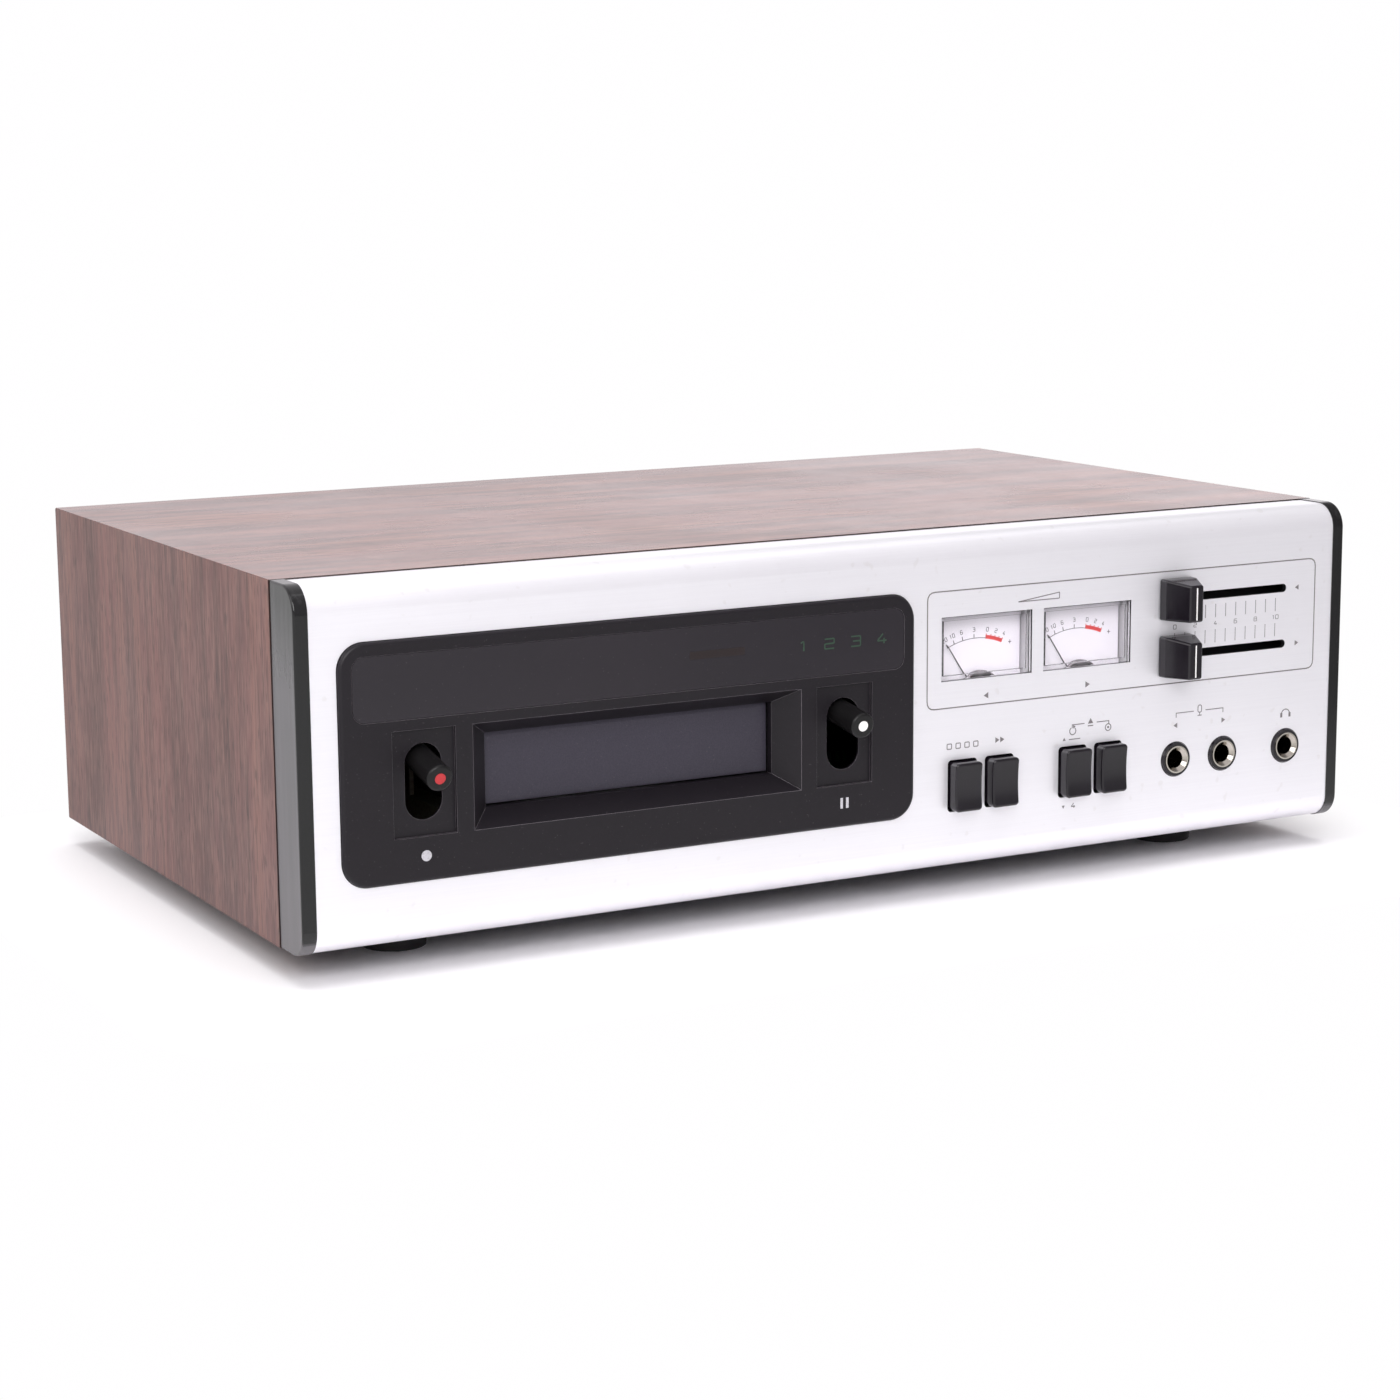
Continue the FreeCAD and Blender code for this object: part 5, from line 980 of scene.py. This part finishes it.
FLOOR_REACH = 8.0       # from its middle to each side, in metres
FLOOR_FADE = 0.06       # the paper has turned into glow this far out from the deck, in metres
FLOOR_DIMMING = 0.55    # share of the glow that the mirrored floor loses on the right in front
ROOM_WHITE = (1.0, 0.995, 1.0, 1)
MIRRORED_WHITE = (1.0, 0.965, 1.0, 1)


def floor_look():
    """Pale paper under the deck, which turns into a white glow around its shadow.

    Mirrored in the deck's front, the glow is dimmer on the right in front."""
    look = Look("studio_floor")
    cloud = look.noise(3, detail=2)
    paper = look.mix(look.span(cloud, 0.3, 0.7), tone(250, 248, 250), tone(247, 245, 248))
    look.finish(Base_Color=paper, Roughness=0.6)
    corner = (cad_bounds[1][0], cad_bounds[1][1], 0)
    outside = look.vector("SUBTRACT", look.vector("ABSOLUTE", look.place), corner)
    distance = look.vector("LENGTH", look.vector("MAXIMUM", outside), output="Value")
    on_right = look.span(look.part(0), 0.0, 0.4)
    in_front = look.span(look.part(1), 0.3, 0.0)
    ahead = look.times(look.times(look.span(distance, 0.08, 0.30), on_right), in_front)
    rays = look.add("LightPath").outputs
    dimming = look.times(look.times(ahead, FLOOR_DIMMING), rays["Is Glossy Ray"])
    glow = look.add("Emission")
    glow.inputs["Color"].default_value = ROOM_WHITE
    look.put(glow.inputs["Strength"], look.minus(1.0, dimming))
    mirrored = look.plus(rays["Is Glossy Ray"], rays["Is Transmission Ray"])
    seen = look.math("MINIMUM", 1.0, look.plus(rays["Is Camera Ray"], mirrored))
    return look.cover(look.times(seen, look.span(distance, 0.0, FLOOR_FADE)), glow)


def add_floor():
    """Wide sheet that the deck stands on and drops its shadow on."""
    mesh = bpy.data.meshes.new("studio_floor")
    corners = rectangle(-FLOOR_REACH, FLOOR_REACH, -FLOOR_REACH, FLOOR_REACH)
    mesh.from_pydata([(x, y, 0) for x, y in corners], [], [(0, 1, 2, 3)])
    mesh.materials.append(floor_look())
    floor = bpy.data.objects.new("studio_floor", mesh)
    bpy.context.scene.collection.objects.link(floor)


def mirrored_room(nodes, across, ahead, upward):
    """Brightness that gloss sees, by direction: bright behind the deck and overhead, dim in
    front, and darker again high up on the right."""
    behind = nodes.times(nodes.span(ahead, -0.6, 0.35), nodes.span(across, 0.38, 0.72, 0.98, 1.5))
    front = nodes.times(nodes.span(ahead, -0.6, 0.35, 0.6, 0.0),
                        nodes.span(across, 0.42, 0.72, 1.0, 0.3))
    ceiling = nodes.times(nodes.span(upward, 0.62, 0.85, 0.0, 0.9),
                          nodes.span(across, 0.36, 0.52, 1.0, 0.4))
    high_right = nodes.times(nodes.span(upward, 0.25, 0.50, 0.0, 0.85),
                             nodes.span(across, 0.38, 0.50))
    behind = nodes.times(behind, nodes.minus(1.0, high_right))
    return nodes.math("MAXIMUM", nodes.plus(behind, front), ceiling)


def add_world():
    """White room: seen directly it is plain white, and matt surfaces are lit from above."""
    world = bpy.data.worlds.new("studio")
    bpy.context.scene.world = world
    world.use_nodes = True
    nodes = Nodes(world.node_tree)
    rays = nodes.add("LightPath").outputs
    across, ahead, upward = nodes.parts(nodes.add("TexCoord").outputs["Generated"])
    gloss = nodes.times(rays["Is Glossy Ray"], mirrored_room(nodes, across, ahead, upward))
    matt = nodes.times(rays["Is Diffuse Ray"], nodes.span(upward, 0.15, 0.6, 0.0, 0.6))
    seen = nodes.math("MAXIMUM", rays["Is Camera Ray"], rays["Is Transmission Ray"])
    background = nodes.tree.nodes["Background"]
    tint = nodes.mix(rays["Is Glossy Ray"], ROOM_WHITE, MIRRORED_WHITE)
    nodes.put(background.inputs["Color"], tint)
    nodes.put(background.inputs["Strength"], nodes.plus(nodes.plus(gloss, matt), seen))


def add_lamp(name, place, target, size, power, mirrored=True):
    """Softbox; mirrored is whether gloss reflects it."""
    data = bpy.data.lights.new(name, "AREA")
    data.shape = "RECTANGLE"
    data.size, data.size_y = size
    data.energy = power
    lamp = bpy.data.objects.new(name, data)
    bpy.context.scene.collection.objects.link(lamp)
    lamp.location = place
    lamp.visible_glossy = mirrored
    lamp.rotation_euler = (Vector(target) - Vector(place)).to_track_quat("-Z", "Y").to_euler()


def add_lamps():
    """Plain soft light from above, the front left and the left."""
    add_lamp("top_softbox", (-0.05, -0.05, 1.45), (0.0, 0.0, 0.1), size=(1.5, 1.2), power=20.0,
             mirrored=False)
    add_lamp("strip_light", (0.25, -0.40, 1.40), (0.0, -0.1, 0.1), size=(2.4, 0.14), power=0.8)
    add_lamp("front_softbox", (-0.65, -1.3, 0.80), (-0.05, -0.1, 0.06), size=(1.0, 0.8),
             power=13.5)
    add_lamp("side_fill", (-1.5, -0.3, 1.00), (-0.2, 0.0, 0.06), size=(1.0, 0.9), power=5.0)


# Angles in degrees; the lens and its place in millimetres.
CAMERA_YAW = 28.497
CAMERA_PITCH = 10.361
CAMERA_ROLL = -0.433
CAMERA_LENS = 79.28
CAMERA_PLACE = (-532.909, -865.023, 248.818)


def add_camera():
    """Camera at the photograph's viewing angle."""
    yaw, pitch, roll = (math.radians(a) for a in (CAMERA_YAW, CAMERA_PITCH, CAMERA_ROLL))
    ahead = Vector((math.sin(yaw) * math.cos(pitch), math.cos(yaw) * math.cos(pitch),
                    -math.sin(pitch)))
    right = Vector((math.cos(yaw), -math.sin(yaw), 0))
    up = right.cross(ahead)
    turned_right = right * math.cos(roll) + up * math.sin(roll)
    turned_up = up * math.cos(roll) - right * math.sin(roll)
    data = bpy.data.cameras.new("camera")
    data.lens = CAMERA_LENS
    data.sensor_width = 36.0
    data.clip_start = 0.05
    camera = bpy.data.objects.new("camera", data)
    bpy.context.scene.collection.objects.link(camera)
    turn = Matrix((turned_right, turned_up, -ahead)).transposed()
    camera.matrix_world = Matrix.Translation(at(*CAMERA_PLACE)) @ turn.to_4x4()
    bpy.context.scene.camera = camera


dress_nodes()
ease_edges(0.35, "top_board", "left_side_board", "right_side_board")
# The bezel's bevelled edges take the pale look, which gives them painted highlights.
ease_edges(0.22, "deck_bezel", worn="bezel_edge")
printed_marks()
add_floor()
add_world()
add_lamps()
add_camera()
bpy.context.scene.view_settings.view_transform = "Standard"
